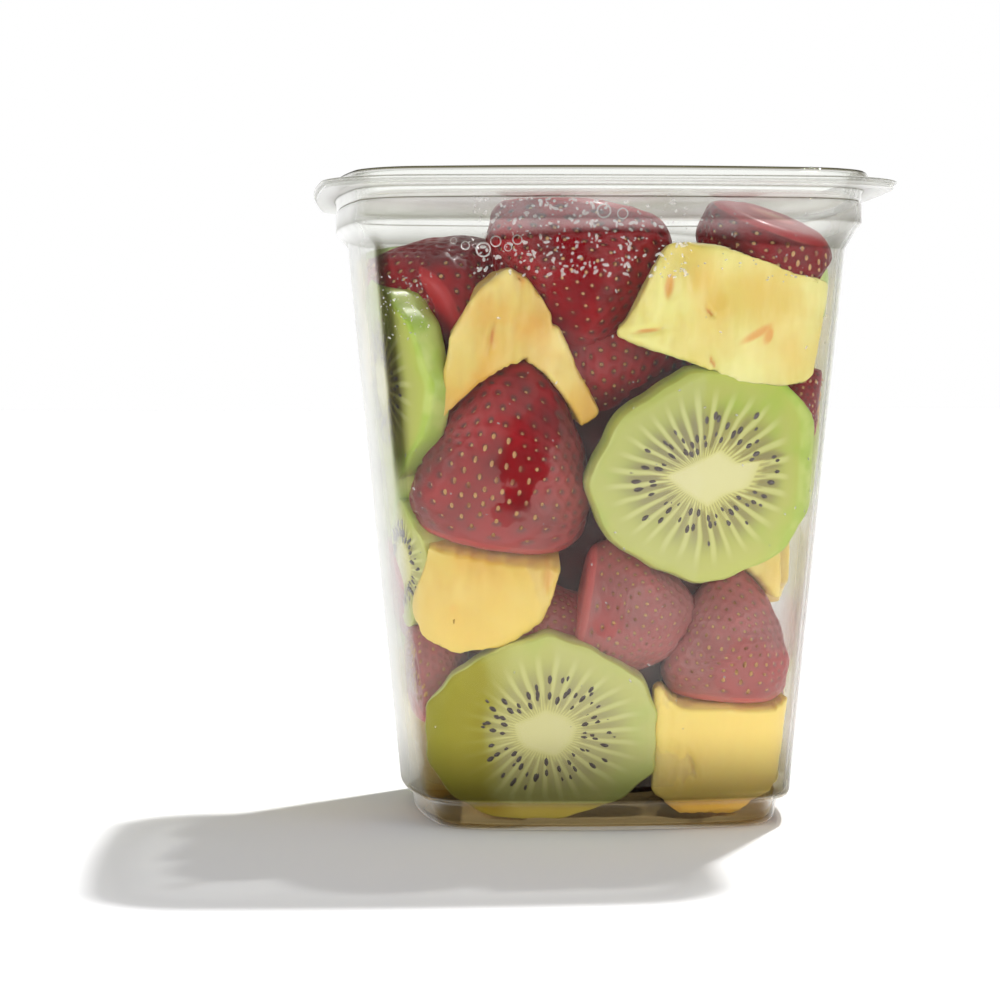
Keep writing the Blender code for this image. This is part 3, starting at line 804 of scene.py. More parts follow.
def all_places():
    """Every piece as kind, sizes, its frame and its gap to the wall."""
    draw = random.Random(SEED)
    places = []
    rows = [(row[0], "front", *row[1:]) for row in FRONT]
    for number, row in enumerate(rows + other_rows(draw)):
        kind, side, across, height, depth, turn, lean, spin, sizes = row
        where = wall_frame(side, across * MM, height * MM, depth * MM) @ turned(turn, lean, spin)
        gap = WALL_GAP + LAYER_GAP * (number if number < len(FRONT) else number % 7)
        places.append((kind, sizes, where, gap))
    for kind, x, y, height, turn, lean, sizes in top_rows(draw):
        where = Matrix.Translation((x * MM, y * MM, height * MM))
        where = where @ Matrix.Rotation(math.radians(turn), 4, "Z")
        where = where @ Matrix.Rotation(math.radians(lean), 4, "X")
        places.append((kind, sizes, where, WALL_GAP + 1.5 * MM))
    return places


PLACES = all_places()
print("pieces of fruit", len(PLACES))

# %% [markdown]
# ## Copies that keep their marks
#
# Each kind is modelled once, about its own centre. A copy gets its own mesh, is stretched
# to its size, set in its frame and pressed on the wall. Marks on the points travel with
# it. At the end the copies of one kind are joined into one piece.


# %% Copying helpers
# Gives neighbours in the row numbers between 0 and 1 that lie far apart
NUMBER_STEP = 0.618


def points_of(item):
    flat = np.empty(len(item.data.vertices) * 3)
    item.data.vertices.foreach_get("co", flat)
    return flat.reshape(-1, 3)


def set_points(item, points):
    item.data.vertices.foreach_set("co", np.asarray(points, dtype=np.float32).ravel())
    item.data.update()


def get_mark(item, name):
    values = np.empty(len(item.data.vertices), dtype=np.float32)
    item.data.attributes[name].data.foreach_get("value", values)
    return values


def carried(points, where):
    """Points of a piece's own frame, in the cup's frame."""
    matrix = np.array(where)
    return points @ matrix[:3, :3].T + matrix[:3, 3]


def copy_of(master, name):
    item = master.copy()
    item.data = master.data.copy()
    item.name = name
    bpy.context.scene.collection.objects.link(item)
    return item


def into_place(item, where, stretch, gap, number):
    """Stretches a copy, sets it in its frame, presses it, and marks contact and number."""
    points, moved = pressed(carried(points_of(item) * np.array(stretch), where), gap)
    set_points(item, points)
    own_number = np.full(len(points), (number * NUMBER_STEP) % 1.0)
    set_marks(item, contact=np.clip(moved / PRESS_FULL, 0, 1), number=own_number)


def join_all(items, name):
    bpy.ops.object.select_all(action="DESELECT")
    for item in items:
        item.select_set(True)
    bpy.context.view_layer.objects.active = items[0]
    bpy.ops.object.join()
    joined = bpy.context.object
    joined.name = name
    joined.data.name = name
    joined.data.calc_loop_triangles()
    print(name, len(items), "pieces,", len(joined.data.loop_triangles), "triangles")
    return joined


def finish_fruit(item, material):
    item.data.materials.clear()
    item.data.materials.append(material)
    item.data.polygons.foreach_set("material_index", [0] * len(item.data.polygons))
    select_only(item)
    bpy.ops.object.shade_smooth()
    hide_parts("fruit_heap")
    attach(item, "root")


# %% [markdown]
# ## Strawberry
#
# A strawberry is a blunt cone whose skin is pitted by several hundred small dry fruits,
# each in its own dimple. An icosahedron cut into small triangles spreads points evenly,
# so those points become the pits, and cutting each triangle once more gives the flesh
# between them room to bulge. A few berries are halved: their front is cut flat, and shows
# pale flesh. Shade is painted into the pits, and a pale painted haze lies over the skin,
# thicker low in the cup. Where a berry touches the wall the haze is missing and it is
# darker, and two have a streak of juice.

# %% Strawberry master
SEED_CUTS = 5
FLESH_CUTS = 2
PIT_DEPTH = 0.030
# Share of the climb that the flat stalk end takes, its width, and where the berry is widest
STALK_FLAT = 0.13
STALK_WIDTH = 0.72
WIDEST = 0.22


def berry_radius(share):
    """Half width of the berry at a share of its height, from the cut stalk end to the tip."""
    rise = np.sqrt(np.clip(1 - (1 - np.minimum(share, WIDEST) / WIDEST) ** 2, 0, 1))
    low = STALK_WIDTH + (1 - STALK_WIDTH) * rise
    high = (1 - (np.clip(share - WIDEST, 0, 1 - WIDEST) / (1 - WIDEST)) ** 1.7) ** 0.72
    return np.where(share < WIDEST, low, high)


def make_berry_master():
    bpy.ops.mesh.primitive_ico_sphere_add(subdivisions=1, radius=1.0)
    berry = bpy.context.object
    for cuts in (SEED_CUTS, FLESH_CUTS):
        pit_count = len(berry.data.vertices)
        bpy.ops.object.mode_set(mode="EDIT")
        bpy.ops.mesh.select_all(action="SELECT")
        bpy.ops.mesh.subdivide(number_cuts=cuts)
        bpy.ops.transform.tosphere(value=1.0)
        bpy.ops.object.mode_set(mode="OBJECT")
    ball = points_of(berry)
    ball /= np.linalg.norm(ball, axis=1)[:, None]
    # Without a seed of its own the vector noise would follow the clock
    noise.seed_set(SEED)
    wobble = np.array([noise.noise_vector(Vector(point) * 1.7) for point in ball])
    ball += 0.10 * wobble
    ball /= np.linalg.norm(ball, axis=1)[:, None]
    climb = np.arccos(np.clip(-ball[:, 2], -1, 1)) / math.pi
    end = np.clip(climb / STALK_FLAT, 0, 1)
    share = np.clip((climb - STALK_FLAT) / (1 - STALK_FLAT), 0, 1)
    flat = np.hypot(ball[:, 0], ball[:, 1])
    around = ball[:, :2] / np.maximum(flat, 1e-6)[:, None]
    radius = np.where(climb < STALK_FLAT, STALK_WIDTH * end, berry_radius(share))
    lump = np.array([noise.noise(Vector(point) * 2.3 + Vector((4, 1, 7))) for point in ball])
    radius = radius * (1 + 0.06 * lump)
    shaped = np.column_stack([0.5 * radius[:, None] * around, share - 0.5 - 0.02 * (1 - end)])
    middle = np.array([0.0, 0.0, -0.1])
    outward = shaped - middle
    outward /= np.linalg.norm(outward, axis=1)[:, None]
    pit = np.zeros(len(ball))
    pit[:pit_count] = 1.0
    on_skin = np.clip((share - 0.03) / 0.04, 0, 1)
    shaped -= outward * (PIT_DEPTH * pit * on_skin)[:, None]
    set_points(berry, shaped)
    core = np.clip(2.2 * radius * (1 - on_skin), 0, 1)
    set_marks(berry, pit=pit * on_skin, cut=1 - on_skin, core=core)
    seeded = on_skin[:pit_count] > 0.9
    places, ways = shaped[:pit_count][seeded], outward[:pit_count][seeded]
    print("strawberry points", len(ball), "pits", len(places))
    return berry, places, ways


# %% Strawberry seed master
ACHENE_HALF_SIZES = (0.46, 0.30, 0.80)


def make_achene_master(segments, ring_count):
    bpy.ops.mesh.primitive_uv_sphere_add(segments=segments, ring_count=ring_count, radius=1.0)
    achene = bpy.context.object
    set_points(achene, points_of(achene) * np.array(ACHENE_HALF_SIZES) * MM)
    return achene


def many_of(master, matrices, name):
    """One mesh that holds the master once for each matrix."""
    base = points_of(master)
    faces = [tuple(face.vertices) for face in master.data.polygons]
    points, all_faces = [], []
    for number, matrix in enumerate(matrices):
        points.append(carried(base, matrix))
        start = number * len(base)
        all_faces += [tuple(start + index for index in face) for face in faces]
    mesh = bpy.data.meshes.new(name)
    mesh.from_pydata(np.concatenate(points), [], all_faces)
    item = bpy.data.objects.new(name, mesh)
    bpy.context.scene.collection.objects.link(item)
    return item


BERRY_DEEP = 0.8
# How far in front of its middle a halved berry is cut, as a share of its width
HALVES = {18: 0.1}
OTHER_HALF = 0.12
HALF_EVERY = 4
# Juice streaks at the wall, by number: across, slope and width, as shares of the berry's size
STREAKS = {4: (0.06, 0.3, 0.17), 5: (0.05, -0.1, 0.2)}
# A berry narrower than this, in millimetres, carries half the seeds
SMALL_BERRY = 20
SEED_LIFT = 0.12 * MM
CONTACT_SHARE = 0.3


def halve(item, spots, cut_at):
    """Cuts the front off a berry: a flat face with the pale flesh in it."""
    points = points_of(item)
    before = points[:, 1].copy()
    points[:, 1] = np.maximum(points[:, 1], -cut_at)
    gone = np.clip((points[:, 1] - before) / 0.03, 0, 1)
    points[:, 1] -= 0.012 * gone * np.cos(9 * points[:, 2])
    set_points(item, points)
    across = np.hypot(points[:, 0] / 0.36, (points[:, 2] + 0.08) / 0.42)
    core = np.where(gone > 0.5, np.clip(across, 0, 1), get_mark(item, "core"))
    cut = np.maximum(get_mark(item, "cut"), gone)
    set_marks(item, pit=get_mark(item, "pit") * (1 - gone), cut=cut, core=core)
    return spots[:, 1] > -cut_at


def streak_on(points, across, slope, wide):
    """A leaning band down the front of a berry, from 1 in its middle to 0."""
    off = np.abs(points[:, 0] - across - slope * points[:, 2]) / wide
    front = np.clip(-6 * points[:, 1], 0, 1) * np.clip((points[:, 2] + 0.3) * 6, 0, 1)
    return np.clip(1.25 - off, 0, 1) * front


def make_strawberries():
    berry, pits, ways = make_berry_master()
    skins = {"shown": [], "other": []}
    seeds = {"shown": [], "other": []}
    for number, (kind, sizes, where, gap) in enumerate(PLACES):
        if kind != "berry":
            continue
        wide, tall = sizes[0] * MM, sizes[1] * MM
        stretch = np.array([wide, wide * BERRY_DEEP, tall])
        item = copy_of(berry, f"strawberry_{number}")
        stays = np.ones(len(pits), dtype=bool)
        if number in HALVES or (number >= len(FRONT) and number % HALF_EVERY == 0):
            stays = halve(item, pits, HALVES.get(number, OTHER_HALF))
        if sizes[0] < SMALL_BERRY:
            stays = stays & (np.arange(len(pits)) % 2 == 0)
        points = points_of(item)
        into_place(item, where, stretch, gap, number)
        contact = get_mark(item, "contact") * CONTACT_SHARE
        if number in STREAKS:
            contact = np.maximum(contact, streak_on(points, *STREAKS[number]))
        set_marks(item, contact=contact)
        group = "shown" if number < len(FRONT) else "other"
        skins[group].append(item)
        axes = np.array(where)[:3, :3]
        turned_ways = (ways[stays] / stretch) @ axes.T
        turned_ways /= np.linalg.norm(turned_ways, axis=1)[:, None]
        spots = carried(pits[stays] * stretch, where) + turned_ways * SEED_LIFT
        spots = pressed(spots, gap + SEED_LIFT)[0]
        axis = Vector(axes[:, 2])
        for spot, way in zip(spots, turned_ways):
            out = Vector(way)
            side = axis.cross(out)
            if side.length < 0.05:
                continue
            side.normalize()
            up = out.cross(side)
            seat = Matrix((side, out, up)).transposed().to_4x4()
            seat.translation = Vector(spot)
            seeds[group].append(seat)
    bpy.data.objects.remove(berry)
    skin_look, seed_look = strawberry_skin(), strawberry_seed()
    for group, items in skins.items():
        finish_fruit(join_all(items, f"strawberries_{group}"), skin_look)
    for group, rounding in (("shown", (6, 4)), ("other", (5, 3))):
        achene = make_achene_master(*rounding)
        piece = many_of(achene, seeds[group], f"strawberry_seeds_{group}")
        bpy.data.objects.remove(achene)
        print("strawberry seeds", group, len(seeds[group]))
        finish_fruit(piece, seed_look)


# %% Strawberry finishes
FLESH_STOPS = (
    (0.0, paint(226, 176, 150)),
    (0.3, paint(222, 132, 112)),
    (0.7, paint(206, 88, 80)),
    (0.92, paint(176, 36, 40)),
)


def strawberry_skin():
    skin = Finish(
        "strawberry skin", Roughness=0.34, Subsurface_Weight=0.25, Subsurface_Scale=0.002,
        Subsurface_Radius=(1.0, 0.25, 0.15), Specular_IOR_Level=0.16, Coat_Weight=0.08,
        Coat_Roughness=0.12,
    )
    patch = skin.noise(90.0, 3.0)
    # Painted shade: the skin is darkened in the pit round each seed
    painted_pit_shade = skin.mark("pit").step(0.12, 0.55)
    shades = ((patch.step(0.3, 0.7), (150, 14, 24)), (painted_pit_shade * 0.85, (72, 26, 20)))
    pure = skin.layered(paint(98, 6, 14), *shades)
    # Painted haze: a pale veil for the light that the misted wall scatters, over the skin except where it
    # touches the wall, thicker low in the cup
    painted_haze = (0.01 + skin.low_down() * 0.44) * (0.6 + skin.noise(60.0, 3.0) * 0.8)
    inside = skin.mark("core") + (patch - 0.5) * 0.25
    flesh = skin.node("ShaderNodeValToRGB", {"stops": FLESH_STOPS}, {0: inside})
    pure = skin.blend(skin.mark("cut").step(0.3, 0.7), pure, flesh)
    skin.feed("Base Color", skin.layered(pure, (painted_haze, (206, 146, 142))))
    skin.wetted(skin.layered(pure, (0.3, (136, 4, 16))), deep=0.56, size=170.0, uneven=2.5)
    skin.bump(skin.noise(900.0, 2.0), 0.0001, 0.4)
    return skin.material


def strawberry_seed():
    seed = Finish("strawberry seed", Roughness=0.4)
    patch = seed.noise(400.0, 1.0)
    seed.feed("Base Color", seed.blend(patch.step(0.3, 0.6), paint(128, 72, 38), paint(192, 150, 96)))
    return seed.material


make_strawberries()

# %% [markdown]
# ## Kiwi slice
#
# A peeled slice is a thick disc with a pale core, a ring of black seeds and green flesh
# with pale rays. A cylinder gets ring after ring of inset faces, so that its cut faces can
# carry relief, and a rounded rim. Numbers kept on each point, its share of the way from
# the middle to the rim and its angle, let the finish follow the slice, and others mark the
# rim, its lip and the side that juice has soaked. The two slices flat on the front wall
# have their own outlines; the rest get drawn ones.

# %% Kiwi master
SLICE_SIDES = 96
SLICE_RINGS = 11
SLICE_THICK = 11.0 * MM
CORE_SHARE = 0.24


def make_slice_master():
    bpy.ops.mesh.primitive_cylinder_add(
        vertices=SLICE_SIDES, radius=1.0, depth=1.0, end_fill_type="NGON", rotation=(math.pi / 2, 0, 0)
    )
    piece = bpy.context.object
    bpy.ops.object.transform_apply(location=False, rotation=True, scale=False)
    bpy.ops.object.mode_set(mode="EDIT")
    bpy.ops.mesh.select_mode(type="FACE")
    select_end_faces(piece)
    bpy.ops.mesh.inset(thickness=0.03)
    for _ in range(SLICE_RINGS):
        bpy.ops.mesh.inset(thickness=0.97 / (SLICE_RINGS + 0.7))
    bpy.ops.mesh.poke()
    bpy.ops.mesh.select_all(action="DESELECT")
    shape = bmesh.from_edit_mesh(piece.data)
    for edge in shape.edges:
        ends = [math.hypot(point.co.x, point.co.z) for point in edge.verts]
        flat = abs(edge.verts[0].co.y - edge.verts[1].co.y) > 0.5
        edge.select_set(flat and min(ends) > 0.97)
    bmesh.update_edit_mesh(piece.data)
    bpy.ops.mesh.subdivide(number_cuts=7)
    bpy.ops.object.mode_set(mode="OBJECT")
    points = points_of(piece)
    radius = np.hypot(points[:, 0], points[:, 2])
    rim = np.clip((radius - 0.95) / 0.05, 0, 1)
    across = np.clip(np.abs(points[:, 1]) * 2, 0, 1)
    round_rim = 1 - 0.035 * across**4 * rim
    points[:, 0] *= round_rim
    points[:, 2] *= round_rim
    points[:, 1] *= 1 - 0.04 * rim**2
    set_points(piece, points)
    print("slice points", len(points))
    return piece


# %% Kiwi seeds and copies
KIWI_SEED_TAPER = 0.45
KIWI_SEED_HALF_SIZES = (0.48, 0.28, 0.95)


def make_kiwi_seed_master():
    bpy.ops.mesh.primitive_uv_sphere_add(segments=6, ring_count=5, radius=1.0)
    seed = bpy.context.object
    points = points_of(seed)
    points[:, :2] *= 1 - KIWI_SEED_TAPER * np.clip(points[:, 2:], 0, 1)
    set_points(seed, points * np.array(KIWI_SEED_HALF_SIZES) * MM)
    return seed


# Corners of the two slices that lie flat on the front wall, and of their cores, in
# millimetres from the slice's middle, across and up
SLICE_CORNERS = {
    1: ((-23.6, -0.7), (-17, 12.5), (-3.2, 21.6), (3.2, 21.6), (17.5, 18.1), (23.7, 11),
        (23.4, -6.8), (16.6, -15.9), (4.9, -20.9), (-0.6, -22), (-10.4, -18.3),
        (-18.9, -12.9), (-22.1, -6.2)),
    2: ((0.6, 20.4), (8.9, 17.8), (19.8, 11.1), (23.1, 3.7), (22.6, -8.4), (15.4, -14.4),
        (3.8, -18.2), (-10.5, -18.2), (-17.3, -14.9), (-23.6, -7.2), (-23.9, 4),
        (-17.9, 11.6), (-9, 17.2)),
}
CORE_CORNERS = {
    1: ((-7.6, 0.3), (-1.9, 2.7), (3.9, 5.6), (8.3, 2.7), (14.2, 3.6), (11, -2.1),
        (4.9, -3.7), (1.2, -6), (-3.9, -2.7)),
    2: ((-6.8, 1.8), (-2.9, 3.3), (0, 4.8), (4.5, 3.3), (6.4, 1.2), (5.4, -1.8),
        (2.2, -4.9), (-0.3, -4.3), (-4.5, -3), (-6, -1.2)),
}
TURN_STEPS = 720
OUTLINE_SOFTENING = 17
CORE_SOFTENING = 13


def reach_of(corners, soften):
    """How far a polygon round the middle reaches, angle by angle, with softened corners."""
    corners = np.array(corners, dtype=float)
    along = np.linspace(0, 1, 60, endpoint=False)[:, None]
    spots = np.concatenate([a + (b - a) * along for a, b in zip(corners, np.roll(corners, -1, axis=0))])
    angles = np.arctan2(spots[:, 1], spots[:, 0])
    wanted = np.linspace(-math.pi, math.pi, TURN_STEPS, endpoint=False)
    order = np.argsort(angles)
    reach = np.interp(wanted, angles[order], np.hypot(*spots.T)[order], period=2 * math.pi)
    window = np.hanning(soften + 2)[1:-1]
    wrapped = np.concatenate([reach[-soften:], reach, reach[:soften]])
    return np.convolve(wrapped, window / window.sum(), mode="same")[soften:-soften]


def slice_reaches(number, wide, tall, draw):
    """Outline and core of one slice, as shares of its half sizes, angle by angle."""
    corners = SLICE_CORNERS.get(number)
    if corners is None:
        count = draw.choice((11, 12, 13))
        turns = [2 * math.pi * (step + draw.uniform(-0.25, 0.25)) / count for step in range(count)]
        corners = [(wide / 2 * math.cos(turn) * 1.02, tall / 2 * math.sin(turn) * 1.02) for turn in turns]
    core = CORE_CORNERS.get(number)
    if core is None:
        count = draw.choice((7, 8, 9))
        grow = draw.uniform(1.1, 1.6)
        core = []
        for step in range(count):
            turn = 2 * math.pi * (step + draw.uniform(-0.2, 0.2)) / count
            long = draw.uniform(3.6, 5.4)
            core.append((grow * long * math.cos(turn), long * math.sin(turn)))
    half = np.array((wide / 2, tall / 2))
    outer = reach_of(np.array(corners) / half, OUTLINE_SOFTENING)
    return outer, reach_of(np.array(core) / half, CORE_SOFTENING)


def at_angle(reach, angle):
    spots = np.linspace(-math.pi, math.pi, TURN_STEPS, endpoint=False)
    return np.interp(angle, spots, reach, period=2 * math.pi)


def shaped_slice(points, outer, core):
    """Across, up and angle of the unit disc's points, moved so that CORE_SHARE of the way
    out falls on the core's edge and all of it on the outline."""
    radius = np.hypot(points[:, 0], points[:, 2])
    angle = np.arctan2(points[:, 2], points[:, 0])
    rim, edge = at_angle(outer, angle), at_angle(core, angle)
    inner = radius / CORE_SHARE * edge
    beyond = edge + (radius - CORE_SHARE) / (1 - CORE_SHARE) * (rim - edge)
    moved = np.where(radius < CORE_SHARE, inner, beyond)
    return moved * np.cos(angle), moved * np.sin(angle), angle


# Rounds of seeds about the core: share of the way out, and how many
SEED_ROUNDS = ((0.36, 26), (0.44, 30), (0.53, 24), (0.63, 8))
MISSING_SEEDS = 0.2


def seed_ring(draw, outer, core):
    """Places of the seeds on a face, as shares of the slice, with the way each points."""
    spots = []
    for reach, count in SEED_ROUNDS:
        for step in range(count):
            angle = 2 * math.pi * (step + draw.uniform(-0.4, 0.4)) / count
            share = reach + draw.uniform(-0.05, 0.05)
            if draw.random() < MISSING_SEEDS:
                continue
            rim, edge = float(at_angle(outer, angle)), float(at_angle(core, angle))
            radius = edge + (share - CORE_SHARE) / (1 - CORE_SHARE) * (rim - edge)
            spots.append((radius * math.cos(angle), radius * math.sin(angle), angle))
    return spots


SEED_SUNK = 0.16 * MM
# Slices whose flesh is soaked olive at one side: 1 at the left, -1 at the right
SOAKED_SIDES = {2: 1, 25: 1, 31: -1, 44: -1}


def make_kiwi():
    master = make_slice_master()
    seed = make_kiwi_seed_master()
    half_depths = np.abs(points_of(master)[:, 1])
    draw = random.Random(SEED + 1)
    slices, seeds = [], []
    for number, (kind, sizes, where, gap) in enumerate(PLACES):
        if kind != "slice":
            continue
        wide, tall = sizes[0] * MM, sizes[1] * MM
        outer, core = slice_reaches(number, *sizes, draw)
        item = copy_of(master, f"kiwi_{number}")
        points = points_of(item)
        share = np.hypot(points[:, 0], points[:, 2])
        rim = np.clip((share - 0.95) / 0.05, 0, 1)
        x, z, angle = shaped_slice(points, outer, core)
        ripple = np.sin(34 * angle + 3 * np.sin(5 * angle + number))
        ridged = ripple * np.clip((share - CORE_SHARE) * 4, 0, 1) * np.clip(1 - share, 0, 1)
        points[:, 1] += np.sign(points[:, 1]) * 0.02 * ridged * (1 - rim)
        wave = 1 + 0.006 * np.sin(19 * angle + 2 * number)
        points[:, 0], points[:, 2] = x * wave, z * wave
        set_points(item, points)
        out = np.clip(share, 0.02, 1)
        set_marks(item, share=share, ray_x=np.cos(angle) * out, ray_z=np.sin(angle) * out, rim=rim)
        soaked = np.clip((-x * SOAKED_SIDES.get(number, 0) - 0.05) / 0.75, 0, 1)
        set_marks(item, soaked=soaked, lip=rim * np.clip((half_depths - 0.38) / 0.08, 0, 1))
        into_place(item, where, (wide / 2, SLICE_THICK, tall / 2), gap, number)
        slices.append(item)
        for side in (-1, 1):
            for x, z, heading in seed_ring(draw, outer, core):
                depth = side * (SLICE_THICK / 2 - SEED_SUNK)
                local = Matrix.Translation((x * wide / 2, depth, z * tall / 2))
                local = local @ Matrix.Rotation(math.pi / 2 - heading, 4, "Y")
                seat = where @ local @ Matrix.Rotation(math.pi, 4, "Y")
                seat = seat @ Matrix.Scale(draw.uniform(0.8, 1.25), 4)
                spots = pressed(np.array([seat.translation]), gap + SEED_SUNK)[0]
                seat.translation = Vector(spots[0])
                seeds.append(seat)
    bpy.data.objects.remove(master)
    finish_fruit(join_all(slices, "kiwi_slices"), kiwi_flesh())
    seed_piece = many_of(seed, seeds, "kiwi_seeds")
    bpy.data.objects.remove(seed)
    finish_fruit(seed_piece, kiwi_seed())
    print("kiwi seeds", len(seeds))


# %% Kiwi finishes
KIWI_STOPS = (
    (0.0, paint(214, 208, 160)),
    (0.19, paint(212, 206, 156)),
    (0.26, paint(198, 194, 124)),
    (0.45, paint(166, 163, 94)),
    (0.65, paint(164, 168, 86)),
    (0.85, paint(172, 175, 94)),
    (1.0, paint(172, 180, 86)),
)


def kiwi_flesh():
    flesh = Finish(
        "kiwi flesh", Roughness=0.32, Subsurface_Weight=0.2, Subsurface_Scale=0.0015,
        Subsurface_Radius=(0.8, 1.0, 0.3),
    )
    share = flesh.mark("share")
    colour = flesh.node("ShaderNodeValToRGB", {"stops": KIWI_STOPS}, {0: share})
    mottle = flesh.noise(75.0, 3.0)
    green = mottle.step(0.5, 0.68) * share.step(0.45, 0.7)
    ray_x, ray_z, number = flesh.mark("ray_x"), flesh.mark("ray_z"), flesh.mark("number")
    angle = flesh.maths("ARCTAN2", ray_z, ray_x)
    wobble = flesh.noise(110.0, 1.0) * 3.4
    broad = flesh.maths("SINE", angle * 31.0 + wobble + number * 20.0) * 0.5 + 0.5
    fine = flesh.maths("SINE", angle * 67.0 + wobble + number * 9.0) * 0.5 + 0.5
    values = {0: ray_x / share, 1: ray_z / share, 2: number * 7.0}
    around = flesh.node("ShaderNodeCombineXYZ", None, values)
    uneven = flesh.noise(3.2, 2.0, vector=around)
    halo = share.step(0.26, 0.34) * (1.0 - share.step(0.52, 0.78))
    lobes = halo * (1.0 - broad).step(0.15, 0.7) * uneven.step(0.2, 0.55)
    rays = share.step(0.24, 0.3) * (1.0 - share.step(0.68, 0.88)) * broad.step(0.55, 1.0)
    burst = share.step(0.225, 0.26) * (1.0 - share.step(0.34, 0.46)) * fine.step(0.35, 0.75)
    colour = flesh.layered(
        colour, (green * 0.55, (146, 176, 62)), (lobes * 0.85, (116, 106, 80)),
        (rays * 0.5, (208, 208, 150)), (burst * 0.55, (128, 112, 70)),
    )
    streaked = flesh.noise(160.0, 2.0).step(0.35, 0.65)
    edge = flesh.layered(paint(150, 180, 70), (streaked, (190, 204, 118)))
    colour = flesh.blend(flesh.mark("rim").step(0.4, 1.0) * 0.75, colour, edge)
    lip = flesh.mark("lip").step(0.5, 0.9)
    # Painted light: the flesh is painted paler low in the cup, where less light reaches it
    pale = (flesh.low_down() * 0.36, (238, 232, 166))
    colour = flesh.layered(colour, (lip * 0.55, (222, 214, 150)), pale)
    flesh.feed("Base Color", colour)
    soaked = (flesh.mark("soaked") + (mottle - 0.5) * 0.5).step(0.25, 0.75) * share.step(0.3, 0.6)
    flesh.wetted(flesh.layered(colour, (soaked * 0.8, (158, 146, 30))))
    flesh.bump(flesh.noise(500.0, 3.0), 0.00015, 0.4)
    return flesh.material


def kiwi_seed():
    seed = Finish("kiwi seed", Roughness=0.3)
    seed.feed("Base Color", seed.blend(seed.noise(300.0, 1.0), paint(62, 52, 54), paint(104, 92, 88)))
    return seed.material


make_kiwi()

# %% [markdown]
# ## Pineapple chunk
#
# A chunk is a knife-cut block: flat faces with soft edges, fibres that run up it, and deep
# slits where the eyes were. The block's front polygon is extruded and bevelled, remeshed
# finely, and its points are then moved by noise that is long along the fibres. Its colour
# runs from pale to golden, block by block, with ochre patches.

# %% Pineapple copies
CHUNK_DEPTH = 16.0 * MM
FRONT_VOXEL = 0.62 * MM
OTHER_VOXEL = 1.1 * MM
CHUNK_BEVEL = 1.1 * MM
BACK_TAPER = (0.9, 1.0, 0.88)


def block_from(corners, voxel):
    """A bevelled block on a polygon that faces -Y, with an even skin of small faces."""
    bpy.ops.mesh.primitive_circle_add(
        vertices=len(corners), radius=0.01, fill_type="NGON", rotation=(math.pi / 2, 0, 0)
    )
    block = bpy.context.object
    bpy.ops.object.transform_apply(location=False, rotation=True, scale=False)
    for point, corner in zip(block.data.vertices, corners):
        point.co = (corner[0] * MM, -CHUNK_DEPTH / 2, corner[1] * MM)
    bpy.ops.object.mode_set(mode="EDIT")
    bpy.ops.mesh.select_all(action="SELECT")
    bpy.ops.mesh.extrude_region_move(TRANSFORM_OT_translate={"value": (0, CHUNK_DEPTH, 0)})
    bpy.ops.transform.resize(value=BACK_TAPER)
    bpy.ops.mesh.select_all(action="SELECT")
    bpy.ops.mesh.normals_make_consistent(inside=False)
    bpy.ops.object.mode_set(mode="OBJECT")
    bevel = block.modifiers.new("soft edges", "BEVEL")
    bevel.width = CHUNK_BEVEL
    bevel.segments = 3
    bpy.ops.object.modifier_apply(modifier="soft edges")
    remesh = block.modifiers.new("even skin", "REMESH")
    remesh.mode = "VOXEL"
    remesh.voxel_size = voxel
    bpy.ops.object.modifier_apply(modifier="even skin")
    return block


# Eyes and slits of the blocks that show, by number: across and up from the middle, half
# width, half height, and turn in degrees
EYES = {
    0: ((-11.3, 6.6, 1.1, 3.0, 8), (7.0, -2.8, 1.0, 4.6, 62), (9.6, -3.2, 1.2, 2.2, 20),
        (-2.5, -8.6, 0.5, 1.8, -20), (-15.5, -2.2, 0.5, 3.6, 82), (-3.2, 1.4, 0.35, 1.4, -40)),
    6: ((9.0, 5.5, 0.7, 1.8, 30), (-4.0, 2.0, 0.5, 2.6, 10)),
    7: ((-6.7, -4.6, 1.3, 1.1, 0), (-6.2, -7.0, 0.5, 1.2, 30)),
    10: ((1.5, -10.8, 0.6, 1.8, 0), (-4.8, -4.0, 0.4, 3.0, -18)),
}
# Ochre patches in them: across, up and radius
OCHRE = {
    0: ((-5.2, 8.0, 3.6), (7.6, 5.6, 7.0), (-2.0, 2.5, 4.0), (17.5, -7.0, 4.5)),
    6: ((12.0, -13.0, 5.0), (-4.0, 0.0, 3.0), (-12.0, -12.0, 6.0)),
    7: ((2.0, -3.0, 4.0), (-8.0, -8.5, 4.0), (8.0, 5.0, 6.0)),
    10: ((-3.0, -12.0, 4.0), (11.0, 2.0, 5.0), (5.0, 7.0, 5.0)),
}
# How ripe each of them is, from pale to golden
RIPE = {0: 0.0, 6: 0.75, 7: 0.9, 10: 0.9, 15: 0.2}
SLIT_DEPTH = 1.3 * MM
SLIT_REACH = np.array([1.1, 1.1, 3.4]) * MM


def near_spots(points, spots):
    """How near each point of a block's front lies to a row of turned oval spots, 0 to 1."""
    nearness = np.zeros(len(points))
    for across, up, half_wide, half_tall, turn in spots:
        angle = math.radians(turn)
        x, z = points[:, 0] / MM - across, points[:, 2] / MM - up
        along = (x * math.cos(angle) - z * math.sin(angle)) / half_wide
        over = (x * math.sin(angle) + z * math.cos(angle)) / half_tall
        nearness = np.maximum(nearness, np.exp(-(along**2) - over**2))
    return nearness * (points[:, 1] < 0)


